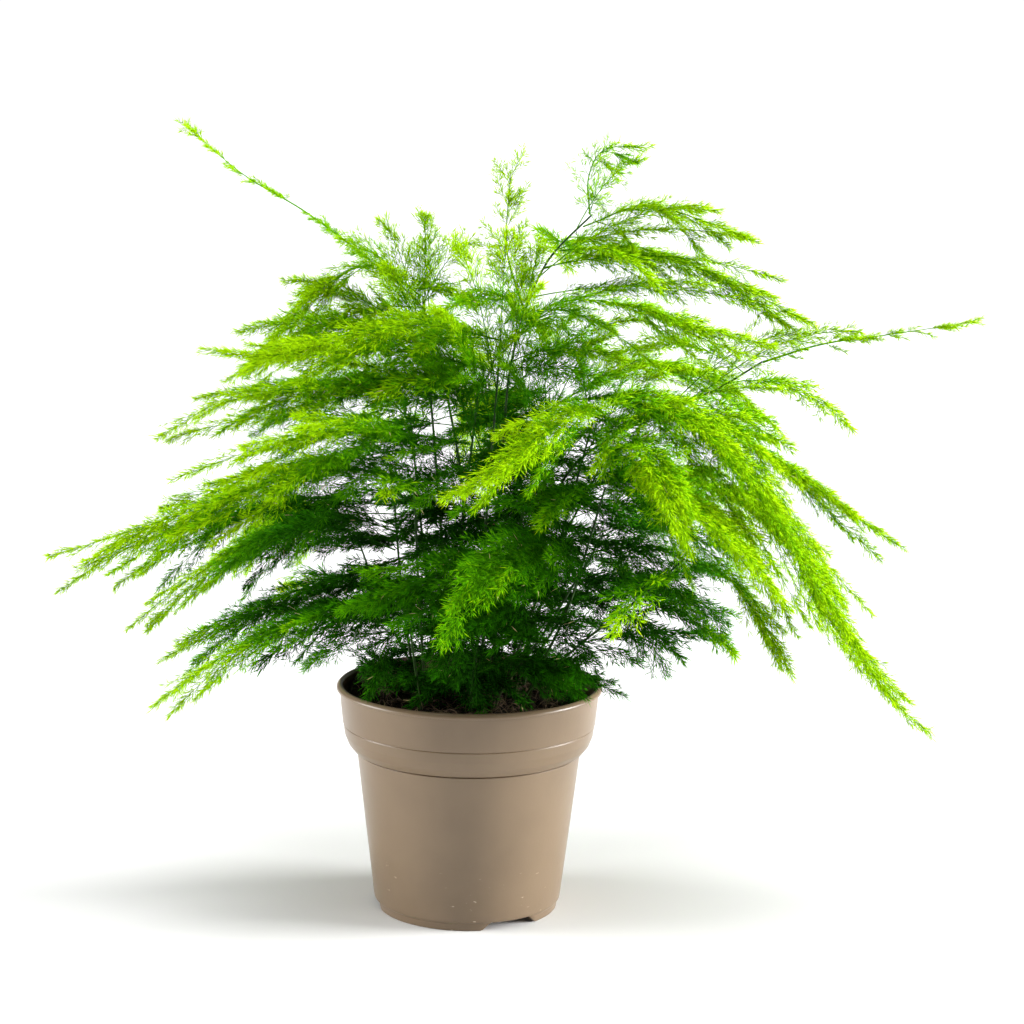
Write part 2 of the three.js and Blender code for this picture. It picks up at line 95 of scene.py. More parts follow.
def smooth_step(low: float, high: float, x: np.ndarray) -> np.ndarray:
    """Rise from 0 at low to 1 at high along 3t² - 2t³."""
    t = np.clip((x - low) / (high - low), 0.0, 1.0)
    return t * t * (3.0 - 2.0 * t)


def spline_through(points: np.ndarray, count: int) -> np.ndarray:
    """Sample a Catmull-Rom curve through points, evenly along its length.

    Args:
        points: control rows, in order.
        count: number of samples.

    Returns:
        The samples, one row each.
    """
    ends = np.vstack([2 * points[0] - points[1], points, 2 * points[-1] - points[-2]])
    u = np.linspace(0, len(points) - 1 - 1e-9, count * 4)
    i = u.astype(int)
    f = (u - i)[:, None]
    p0, p1, p2, p3 = ends[i], ends[i + 1], ends[i + 2], ends[i + 3]
    fine = 0.5 * (
        2 * p1 + (p2 - p0) * f + (2 * p0 - 5 * p1 + 4 * p2 - p3) * f**2 + (3 * p1 - p0 - 3 * p2 + p3) * f**3
    )
    along = np.concatenate([[0.0], np.cumsum(np.linalg.norm(np.diff(fine, axis=0), axis=1))])
    even = np.linspace(0, along[-1], count)
    return np.column_stack([np.interp(even, along, fine[:, k]) for k in range(fine.shape[1])])


def lattice_noise(x: np.ndarray, y: np.ndarray, seed: int) -> np.ndarray:
    """Smooth noise between -1 and 1: random values on a unit lattice, blended by smooth steps."""
    table = np.random.default_rng(seed).uniform(-1, 1, (64, 64))
    ix, iy = np.floor(x).astype(int), np.floor(y).astype(int)
    fx, fy = x - ix, y - iy
    fx, fy = fx * fx * (3 - 2 * fx), fy * fy * (3 - 2 * fy)
    low = mix(table[ix % 64, iy % 64], table[(ix + 1) % 64, iy % 64], fx)
    high = mix(table[ix % 64, (iy + 1) % 64], table[(ix + 1) % 64, (iy + 1) % 64], fx)
    return mix(low, high, fy)


# ---- meshes -------------------------------------------------------------------------------------


@dataclass
class Meshwork:
    """Closed shells gathered into one mesh, with a place on the finish map and a material for each face."""

    vertices: list[np.ndarray] = field(default_factory=list)
    faces: list[np.ndarray] = field(default_factory=list)
    places: list[np.ndarray] = field(default_factory=list)
    slots: list[np.ndarray] = field(default_factory=list)
    count: int = 0

    def add(
        self, vertices: np.ndarray, faces: np.ndarray, places: np.ndarray | None = None, slot: int = 0
    ) -> None:
        """Take in a shell.

        Args:
            vertices: rows of x, y, z.
            faces: rows of vertex numbers, three or four to a row.
            places: a row of u, v for each vertex, or None for the middle of the map.
            slot: the material's number.
        """
        if not len(faces):
            return
        self.vertices.append(vertices)
        self.faces.append(faces + self.count)
        self.places.append(np.full((len(vertices), 2), 0.5) if places is None else places)
        self.slots.append(np.full(len(faces), slot))
        self.count += len(vertices)

    def triangles(self) -> int:
        """Count the triangles that the faces make."""
        return sum(len(f) * (f.shape[1] - 2) for f in self.faces)

    def build(self, name: str, materials: list[bpy.types.Material], smooth: bool = True) -> bpy.types.Object:
        """Make the object.

        Args:
            name: the piece's name.
            materials: one for each slot number.
            smooth: shade across edges.

        Returns:
            The new object, linked to the scene.
        """
        vertices = np.concatenate(self.vertices)
        places = np.concatenate(self.places)
        corners = np.concatenate([f.ravel() for f in self.faces])
        sizes = np.concatenate([np.full(len(f), f.shape[1]) for f in self.faces])
        mesh = bpy.data.meshes.new(name)
        mesh.vertices.add(len(vertices))
        mesh.vertices.foreach_set("co", vertices.astype(np.float32).ravel())
        mesh.loops.add(len(corners))
        mesh.loops.foreach_set("vertex_index", corners.astype(np.int32))
        mesh.polygons.add(len(sizes))
        mesh.polygons.foreach_set("loop_start", (np.cumsum(sizes) - sizes).astype(np.int32))
        mesh.polygons.foreach_set("material_index", np.concatenate(self.slots).astype(np.int32))
        mesh.polygons.foreach_set("use_smooth", np.full(len(sizes), smooth))
        layer = mesh.uv_layers.new(name=UV_MAP)
        layer.data.foreach_set("uv", places[corners].astype(np.float32).ravel())
        mesh.update(calc_edges=True)
        for material in materials:
            mesh.materials.append(material)
        piece = bpy.data.objects.new(name, mesh)
        bpy.context.scene.collection.objects.link(piece)
        return piece


def ring_shell(rings: np.ndarray, first: np.ndarray, last: np.ndarray) -> tuple[np.ndarray, np.ndarray]:
    """Skin rings into a closed shell with an apex at each end.

    Args:
        rings: rings by points by x, y, z, each ring counter-clockwise about the way it leads.
        first: the apex before the first ring.
        last: the apex after the last ring.

    Returns:
        Vertices and triangles.
    """
    count, sides = rings.shape[:2]
    vertices = np.vstack([rings.reshape(-1, 3), first, last])
    i, j = np.meshgrid(np.arange(count - 1), np.arange(sides), indexing="ij")
    a = (i * sides + j).ravel()
    b = (i * sides + (j + 1) % sides).ravel()
    wall = np.vstack([np.column_stack([a, b, b + sides]), np.column_stack([a, b + sides, a + sides])])
    j = np.arange(sides)
    n = (j + 1) % sides
    top = (count - 1) * sides
    foot = np.column_stack([np.full(sides, count * sides), n, j])
    tip = np.column_stack([np.full(sides, count * sides + 1), top + j, top + n])
    return vertices, np.vstack([wall, foot, tip])


def tube(path: np.ndarray, radii: np.ndarray, sides: int) -> tuple[np.ndarray, np.ndarray]:
    """Carry a circle along a path: centre + r (cos a across + sin a over), with frames that don't twist.

    Args:
        path: rows of x, y, z.
        radii: the radius at each row.
        sides: points around.

    Returns:
        Vertices and triangles of a closed tube.
    """
    tangents = unit(np.gradient(path, axis=0))
    helper = np.where(np.abs(tangents[:, 2:3]) > 0.9, [[0.0, 1.0, 0.0]], [[0.0, 0.0, 1.0]])
    if np.any(np.abs(tangents[:, 2]) > 0.9) and np.any(np.abs(tangents[:, 2]) <= 0.9):
        helper = np.tile([[0.0, 1.0, 0.13]], (len(path), 1))
    across = unit(np.cross(helper, tangents))
    over = np.cross(tangents, across)
    turn = 2 * np.pi * np.arange(sides) / sides
    rings = path[:, None] + radii[:, None, None] * (
        np.cos(turn)[None, :, None] * across[:, None] + np.sin(turn)[None, :, None] * over[:, None]
    )
    foot = path[0] - tangents[0] * radii[0] * 0.5
    tip = path[-1] + tangents[-1] * radii[-1] * 0.5
    return ring_shell(rings, foot, tip)


def many_tubes(paths: np.ndarray, radii: np.ndarray, sides: int = 3) -> tuple[np.ndarray, np.ndarray]:
    """Make many thin tubes at once, each ending in a point.

    Args:
        paths: tubes by stations by x, y, z; the last station is the tip.
        radii: tubes by stations, the tip's unused.
        sides: points around each.

    Returns:
        Vertices and triangles of all of them.
    """
    count, stations = paths.shape[:2]
    tangents = unit(np.gradient(paths, axis=1))
    across = unit(np.cross(tangents, [0.31, 0.17, 0.94]))
    over = np.cross(tangents, across)
    turn = 2 * np.pi * np.arange(sides) / sides
    ring = (
        np.cos(turn)[:, None] * across[:, :, None] + np.sin(turn)[:, None] * over[:, :, None]
    ) * radii[:, :, None, None]
    body = (paths[:, :-1, None] + ring[:, :-1]).reshape(count, -1, 3)
    feet = paths[:, :1] - tangents[:, :1] * radii[:, :1, None]
    vertices = np.concatenate([body, paths[:, -1:], feet], axis=1)
    per = (stations - 1) * sides + 2
    i, j = np.meshgrid(np.arange(stations - 2), np.arange(sides), indexing="ij")
    a, b = (i * sides + j).ravel(), (i * sides + (j + 1) % sides).ravel()
    j = np.arange(sides)
    n = (j + 1) % sides
    top = (stations - 2) * sides
    one = np.vstack([
        np.column_stack([a, b, b + sides]),
        np.column_stack([a, b + sides, a + sides]),
        np.column_stack([top + j, top + n, np.full(sides, per - 2)]),
        np.column_stack([n, j, np.full(sides, per - 1)]),
    ])
    faces = (one[None] + (np.arange(count) * per)[:, None, None]).reshape(-1, 3)
    return vertices.reshape(-1, 3), faces


def needles(
    base: np.ndarray, tip: np.ndarray, width: np.ndarray, turn: np.ndarray
) -> tuple[np.ndarray, np.ndarray]:
    """Make slim closed blades: a spine from base to tip and a raised pair of shoulders on either side of it.

    Args:
        base: where each blade starts.
        tip: where it ends.
        width: its full width.
        turn: its angle about its own length.

    Returns:
        Vertices, four to a blade, and triangles.
    """
    ahead = tip - base
    way = unit(ahead)
    across = unit(np.cross(way, [0.23, -0.11, 0.97]))
    over = np.cross(way, across)
    side = np.cos(turn)[:, None] * across + np.sin(turn)[:, None] * over
    rise = np.cross(way, side)
    middle = base + ahead * 0.42 + rise * width[:, None] * 0.38
    half = side * width[:, None] * 0.5
    vertices = np.stack([base, middle + half, middle - half, tip], axis=1).reshape(-1, 3)
    one = np.array([[0, 2, 1], [3, 1, 2], [0, 1, 3], [0, 3, 2]])
    faces = (one[None] + 4 * np.arange(len(base))[:, None, None]).reshape(-1, 3)
    return vertices, faces


# ---- reading the frame --------------------------------------------------------------------------


@dataclass(frozen=True)
class Spine:
    """The middle line of a stem or a frond, sampled evenly, with the ways across and over it."""

    points: np.ndarray
    tangents: np.ndarray
    sides: np.ndarray
    overs: np.ndarray
    half_width: float

    @property
    def length(self) -> float:
        """Length along the line."""
        return float(np.linalg.norm(np.diff(self.points, axis=0), axis=1).sum())

    def at(self, share: np.ndarray) -> tuple[np.ndarray, np.ndarray, np.ndarray, np.ndarray]:
        """Read the line at shares of its length.

        Args:
            share: values from 0 to 1.

        Returns:
            Points, tangents, sides and overs, a row for each share.
        """
        stations = np.linspace(0, 1, len(self.points))

        def read(rows: np.ndarray) -> np.ndarray:
            """Interpolate one set of rows."""
            return np.column_stack([np.interp(share, stations, rows[:, k]) for k in range(3)])

        return read(self.points), unit(read(self.tangents)), unit(read(self.sides)), unit(read(self.overs))


def rings_of(node: bpy.types.Object, sides: int) -> list[np.ndarray]:
    """Peel a pointed solid into its rings, from one apex to the other.

    The vertices are welded, then taken in steps along the edges, starting from each vertex in turn until the
    steps hold 1, sides, sides, ..., 1 of them.

    Args:
        node: the frame's solid.
        sides: points in each ring.

    Returns:
        Arrays of points: an apex, the rings and the other apex.
    """
    mesh = node.data
    co = np.empty(len(mesh.vertices) * 3, np.float32)
    mesh.vertices.foreach_get("co", co)
    mesh.calc_loop_triangles()
    tri = np.empty(len(mesh.loop_triangles) * 3, np.int32)
    mesh.loop_triangles.foreach_get("vertices", tri)
    co = co.reshape(-1, 3).astype(float)
    cells = np.round(co / WELD).astype(int)
    _, first, same = np.unique(cells, axis=0, return_index=True, return_inverse=True)
    points, tri = co[first], same.ravel()[tri].reshape(-1, 3)
    meets = np.zeros((len(points), len(points)), bool)
    for a, b in ((0, 1), (1, 2), (2, 0)):
        meets[tri[:, a], tri[:, b]] = meets[tri[:, b], tri[:, a]] = True
    for start in range(len(points)):
        steps = [np.array([start])]
        seen = np.zeros(len(points), bool)
        seen[start] = True
        while not seen.all():
            reached = np.flatnonzero(meets[steps[-1]].any(axis=0) & ~seen)
            if not len(reached):
                break
            seen[reached] = True
            steps.append(reached)
        counts = [len(s) for s in steps]
        if counts[0] == counts[-1] == 1 and set(counts[1:-1]) == {sides}:
            return [points[s] for s in steps]
    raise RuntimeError(f"{node.name} isn't made of rings of {sides}")


def stem_spine(node: bpy.types.Object) -> tuple[Spine, np.ndarray]:
    """Read a stem's middle line, from its foot up, and its radius along it."""
    rings = rings_of(node, STEM_SIDES)
    if rings[0][0, 2] > rings[-1][0, 2]:
        rings = rings[::-1]
    centres = np.array([r.mean(axis=0) for r in rings])
    radii = np.array([np.linalg.norm(r - r.mean(axis=0), axis=1).mean() for r in rings[1:-1]])
    line = spline_through(centres, 90)
    tangents = unit(np.gradient(line, axis=0))
    sides = unit(np.cross(tangents, np.tile([0.0, 1.0, 0.0], (len(line), 1))))
    spine = Spine(line, tangents, sides, np.cross(sides, tangents), float(radii.max()))
    return spine, np.interp(np.linspace(0, 1, len(line)), np.linspace(0, 1, len(radii)), radii)


def frond_spine(node: bpy.types.Object) -> Spine:
    """Read a frond's midrib, from its base out, the way its upper face looks and its half width."""
    rings = rings_of(node, FROND_SIDES)
    near = [np.linalg.norm(rings[k][0] - rings[j].mean(axis=0)) for k, j in ((0, 1), (-1, -2))]
    if near[0] > near[1]:
        rings = rings[::-1]
    centres, normals, halves = [rings[0][0]], [], []
    for ring in rings[1:-1]:
        gaps = np.linalg.norm(ring[:, None] - ring[None], axis=2)
        a, b = np.unravel_index(gaps.argmax(), gaps.shape)
        centre = (ring[a] + ring[b]) / 2
        others = [ring[k] for k in range(FROND_SIDES) if k not in (a, b)]
        ridge, keel = sorted(others, key=lambda p: -np.linalg.norm(p - centre))
        centres.append(centre)
        normals.append(unit(ridge - keel))
        halves.append(gaps[a, b] / 2)
    centres.append(rings[-1][0])
    line = spline_through(np.array(centres), 200)
    tangents = unit(np.gradient(line, axis=0))
    stations = np.linspace(0, 1, len(normals))
    rough = np.column_stack([
        np.interp(np.linspace(0, 1, len(line)), stations, np.array(normals)[:, k]) for k in range(3)
    ])
    sides = unit(np.cross(tangents, rough))
    return Spine(line, tangents, sides, np.cross(sides, tangents), max(halves))


# ---- finishes -----------------------------------------------------------------------------------


class NodePen:
    """Writes one material's node tree."""

    def __init__(self, name: str) -> None:
        """Start an empty material."""
        self.material = bpy.data.materials.new(name)
        self.material.use_nodes = True
        self.tree = self.material.node_tree
        self.tree.nodes.clear()
        self.output = self.node("ShaderNodeOutputMaterial")

    def node(self, kind: str, **values: object) -> bpy.types.Node:
        """Add a node.

        Args:
            kind: its type name.
            values: properties, or inputs named with spaces written as underscores.

        Returns:
            The node.
        """
        made = self.tree.nodes.new(kind)
        for key, value in values.items():
            if hasattr(made, key):
                setattr(made, key, value)
            else:
                made.inputs[key.replace("_", " ")].default_value = value
        return made

    def link(self, source: bpy.types.NodeSocket, target: bpy.types.NodeSocket) -> None:
        """Join two sockets."""
        self.tree.links.new(source, target)

    def ramp(self, source: bpy.types.NodeSocket, stops: list[tuple[float, Triple]]) -> bpy.types.NodeSocket:
        """Turn a value into a colour.

        Args:
            source: the value's socket.
            stops: positions and colours.

        Returns:
            The colour's socket.
        """
        made = self.node("ShaderNodeValToRGB")
        band = made.color_ramp
        while len(band.elements) < len(stops):
            band.elements.new(0.5)
        for element, (place, colour) in zip(band.elements, stops):
            element.position = place
            element.color = (*colour, 1.0)
        self.link(source, made.inputs["Fac"])
        return made.outputs["Color"]

    def noise(self, scale: float, detail: float = 4.0, stretch: Triple = (1, 1, 1)) -> bpy.types.NodeSocket:
        """Noise on the piece's own place in the object's frame.

        Args:
            scale: cells to a metre.
            detail: octaves.
            stretch: the pattern's squeeze along each axis.

        Returns:
            The noise value's socket.
        """
        where = self.node("ShaderNodeTexCoord")
        mapping = self.node("ShaderNodeMapping")
        mapping.inputs["Scale"].default_value = stretch
        self.link(where.outputs["Object"], mapping.inputs["Vector"])
        made = self.node("ShaderNodeTexNoise")
        made.inputs["Scale"].default_value = scale
        made.inputs["Detail"].default_value = detail
        self.link(mapping.outputs["Vector"], made.inputs["Vector"])
        return made.outputs["Fac"]

    def blend(
        self, share: float | bpy.types.NodeSocket, a: object, b: object, kind: str = "MIX"
    ) -> bpy.types.NodeSocket:
        """Mix two colours.

        Args:
            share: how much of the second, as a number or a socket.
            a: first colour or socket.
            b: second colour or socket.
            kind: the blend type.

        Returns:
            The mixed colour's socket.
        """
        made = self.node("ShaderNodeMix", data_type="RGBA", blend_type=kind)
        if isinstance(share, float):
            made.inputs[0].default_value = share
        else:
            self.link(share, made.inputs[0])
        for value, socket in ((a, made.inputs[6]), (b, made.inputs[7])):
            if isinstance(value, tuple):
                socket.default_value = (*value, 1.0)
            else:
                self.link(value, socket)
        return made.outputs[2]

    def bump(self, height: bpy.types.NodeSocket, strength: float, distance: float) -> bpy.types.NodeSocket:
        """Raise a surface by a height value.

        Args:
            height: the value's socket.
            strength: share of the effect.
            distance: metres for a height of one.

        Returns:
            The normal's socket.
        """
        made = self.node("ShaderNodeBump")
        made.inputs["Strength"].default_value = strength
        made.inputs["Distance"].default_value = distance
        self.link(height, made.inputs["Height"])
        return made.outputs["Normal"]


@dataclass(frozen=True)
class TaupePolypropylene:
    """Satin moulded plastic with faint flow marks, rubbed patches and a few pale scuffs low down."""

    colour: Triple = (0.182, 0.126, 0.075)
    deep: Triple = (0.152, 0.104, 0.061)
    scuff: Triple = (0.50, 0.41, 0.31)
    scuffed: tuple[float, float] = (4 * MM, 34 * MM)
    roughness: float = 0.30

    def material(self) -> bpy.types.Material:
        """Write the material."""
        pen = NodePen("pot_plastic")
        mottled = pen.ramp(pen.noise(22.0, 5.0), [(0.35, self.deep), (0.62, self.colour)])
        flow = pen.noise(60.0, 3.0, (1.0, 1.0, 0.12))
        streaks = pen.ramp(flow, [(0.45, (0, 0, 0)), (0.75, (0.35, 0.35, 0.35))])
        streaked = pen.blend(streaks, mottled, self.colour)
        marks = pen.ramp(pen.noise(230.0, 2.0, (1.0, 1.0, 2.6)), [(0.70, (0, 0, 0)), (0.76, (1, 1, 1))])
        where = pen.node("ShaderNodeTexCoord")
        split = pen.node("ShaderNodeSeparateXYZ")
        pen.link(where.outputs["Object"], split.inputs[0])
        low = pen.node("ShaderNodeMapRange")
        low.inputs["From Min"].default_value = self.scuffed[1]
        low.inputs["From Max"].default_value = self.scuffed[0]
        pen.link(split.outputs["Z"], low.inputs["Value"])
        worn = pen.blend(low.outputs["Result"], (0.0, 0.0, 0.0), marks)
        colour = pen.blend(worn, streaked, self.scuff)
        shader = pen.node("ShaderNodeBsdfPrincipled")
        shader.inputs["IOR"].default_value = 1.49
        pen.link(colour, shader.inputs["Base Color"])
        rough = pen.node("ShaderNodeMapRange")
        rough.inputs["To Min"].default_value = self.roughness - 0.06
        rough.inputs["To Max"].default_value = self.roughness + 0.12
        pen.link(pen.noise(90.0, 6.0), rough.inputs["Value"])
        pen.link(rough.outputs["Result"], shader.inputs["Roughness"])
        pen.link(pen.bump(pen.noise(900.0, 3.0), 0.12, 0.0002), shader.inputs["Normal"])
        pen.link(shader.outputs[0], pen.output.inputs["Surface"])
        return pen.material


@dataclass(frozen=True)
class Compost:
    """Dark moist peat, nearly black in its hollows and brown on its crumbs."""

    dark: Triple = (0.006, 0.004, 0.0025)
    middle: Triple = (0.022, 0.013, 0.007)
    pale: Triple = (0.075, 0.047, 0.026)
    name: str = "compost"

    def material(self) -> bpy.types.Material:
        """Write the material."""
        pen = NodePen(self.name)
        grain = pen.noise(420.0, 8.0)
        colour = pen.ramp(grain, [(0.36, self.dark), (0.55, self.middle), (0.74, self.pale)])
        shader = pen.node("ShaderNodeBsdfPrincipled")
        shader.inputs["Roughness"].default_value = 0.92
        shader.inputs["Specular IOR Level"].default_value = 0.25
        pen.link(colour, shader.inputs["Base Color"])
        pen.link(pen.bump(grain, 0.7, 0.0009), shader.inputs["Normal"])
        pen.link(shader.outputs[0], pen.output.inputs["Surface"])
        return pen.material


@dataclass(frozen=True)
class Fibre:
    """Dry coir and root fibre: tan to brown strands, each a little different."""

    dark: Triple = (0.045, 0.026, 0.012)
    pale: Triple = (0.24, 0.16, 0.085)
    name: str = "coir_fibre"

    def material(self) -> bpy.types.Material:
        """Write the material."""
        pen = NodePen(self.name)
        colour = pen.ramp(pen.noise(160.0, 3.0), [(0.34, self.dark), (0.68, self.pale)])
        shader = pen.node("ShaderNodeBsdfPrincipled")
        shader.inputs["Roughness"].default_value = 0.8
        pen.link(colour, shader.inputs["Base Color"])
        pen.link(shader.outputs[0], pen.output.inputs["Surface"])
        return pen.material


@dataclass(frozen=True)
class StemSkin:
    """Wiry green skin: brown and pale at the foot, deep green above, with fine lengthwise ridges."""

    foot: Triple = (0.085, 0.070, 0.026)
    low: Triple = (0.032, 0.066, 0.012)
    high: Triple = (0.024, 0.085, 0.009)

    def material(self) -> bpy.types.Material:
        """Write the material: v on the finish map runs up the stem."""
        pen = NodePen("stem_skin")
        uv = pen.node("ShaderNodeUVMap", uv_map=UV_MAP)
        split = pen.node("ShaderNodeSeparateXYZ")
        pen.link(uv.outputs["UV"], split.inputs[0])
        colour = pen.ramp(split.outputs["Y"], [(0.06, self.foot), (0.22, self.low), (0.9, self.high)])
        shade = pen.ramp(pen.noise(300.0, 3.0), [(0.3, (0.55, 0.55, 0.55)), (0.7, (1.15, 1.15, 1.15))])
        shader = pen.node("ShaderNodeBsdfPrincipled")
        shader.inputs["Roughness"].default_value = 0.55
        shader.inputs["Specular IOR Level"].default_value = 0.2
        pen.link(pen.blend(1.0, colour, shade, "MULTIPLY"), shader.inputs["Base Color"])
        pen.link(shader.outputs[0], pen.output.inputs["Surface"])
        return pen.material


@dataclass(frozen=True)
class NeedleGreen:
    """Soft needle foliage: u on the finish map is the needle's age and light, v runs along it.

    Old needles, and those deep in the plant's painted shade, are a deep green; young ones, and those the
    colour paints as lit, are a bright yellow green. Each pales towards its tip, and some light passes
    through. The top quarter of the map is the wiry twigs' green.
    """

    # The stops run from the deep green of painted shade to the bright yellow green of painted light on outer
    # young needles; the middle stops are both age and painted light.
    shaded: Triple = (0.005, 0.046, 0.002)
    grown_half_lit: Triple = (0.046, 0.300, 0.001)
    fresh_lit: Triple = (0.205, 0.650, 0.001)
    newest_sunlit: Triple = (0.620, 0.960, 0.003)
    straw: Triple = (0.720, 0.640, 0.300)
    twig: Triple = (0.040, 0.130, 0.008)
    glow: float = 0.40

    def material(self) -> bpy.types.Material:
        """Write the material."""
        pen = NodePen("needle_green")
        uv = pen.node("ShaderNodeUVMap", uv_map=UV_MAP)
        split = pen.node("ShaderNodeSeparateXYZ")
        pen.link(uv.outputs["UV"], split.inputs[0])
        # Painted light and shade: u is mostly each needle's light share, so this ramp paints the plant's
        # inside in shade and its outside in light, shifted a little by age.
        light_and_age_stops = [
            (0.0, self.shaded), (0.35, self.grown_half_lit), (0.68, self.fresh_lit), (0.94, self.newest_sunlit),
            (0.98, self.straw),
        ]
        tone = pen.ramp(split.outputs["X"], light_and_age_stops)
        along = pen.ramp(
            split.outputs["Y"],
            [(0.0, (0.70, 0.72, 0.62)), (0.35, (1.0, 1.0, 1.0)), (0.7, (1.25, 1.15, 1.3))],
        )
        blade = pen.blend(1.0, tone, along, "MULTIPLY")
        is_twig = pen.node("ShaderNodeMath", operation="GREATER_THAN")
        is_twig.inputs[1].default_value = 0.75
        pen.link(split.outputs["Y"], is_twig.inputs[0])
        twig = pen.blend(0.4, tone, self.twig)
        colour = pen.blend(is_twig.outputs[0], blade, twig)
        shader = pen.node("ShaderNodeBsdfPrincipled")
        shader.inputs["Roughness"].default_value = 0.6
        shader.inputs["Specular IOR Level"].default_value = 0.03
        pen.link(colour, shader.inputs["Base Color"])
        through = pen.node("ShaderNodeBsdfTranslucent")
        pen.link(colour, through.inputs["Color"])
        both = pen.node("ShaderNodeMixShader")
        both.inputs[0].default_value = self.glow
        pen.link(shader.outputs[0], both.inputs[1])
        pen.link(through.outputs[0], both.inputs[2])
        pen.link(both.outputs[0], pen.output.inputs["Surface"])
        return pen.material


@dataclass(frozen=True)
class RootBark:
    """Pale fleshy root skin with darker rings of soil staining."""

    pale: Triple = (0.60, 0.48, 0.29)
    stained: Triple = (0.22, 0.14, 0.07)

    def material(self) -> bpy.types.Material:
        """Write the material."""
        pen = NodePen("root_bark")
        grain = pen.noise(140.0, 5.0)
        shader = pen.node("ShaderNodeBsdfPrincipled")
        shader.inputs["Roughness"].default_value = 0.75
        pen.link(pen.ramp(grain, [(0.38, self.stained), (0.62, self.pale)]), shader.inputs["Base Color"])
        pen.link(pen.bump(grain, 0.4, 0.0006), shader.inputs["Normal"])
        pen.link(shader.outputs[0], pen.output.inputs["Surface"])
        return pen.material


@dataclass(frozen=True)
class StudioPaper:
    """Plain white paper for the floor."""

    colour: Triple = (0.86, 0.86, 0.86)

    def material(self) -> bpy.types.Material:
        """Write the material."""
        pen = NodePen("studio_paper")
        shader = pen.node("ShaderNodeBsdfPrincipled")
        shader.inputs["Base Color"].default_value = (*self.colour, 1.0)
        shader.inputs["Roughness"].default_value = 0.8
        pen.link(shader.outputs[0], pen.output.inputs["Surface"])
        return pen.material


# ---- pot ----------------------------------------------------------------------------------------


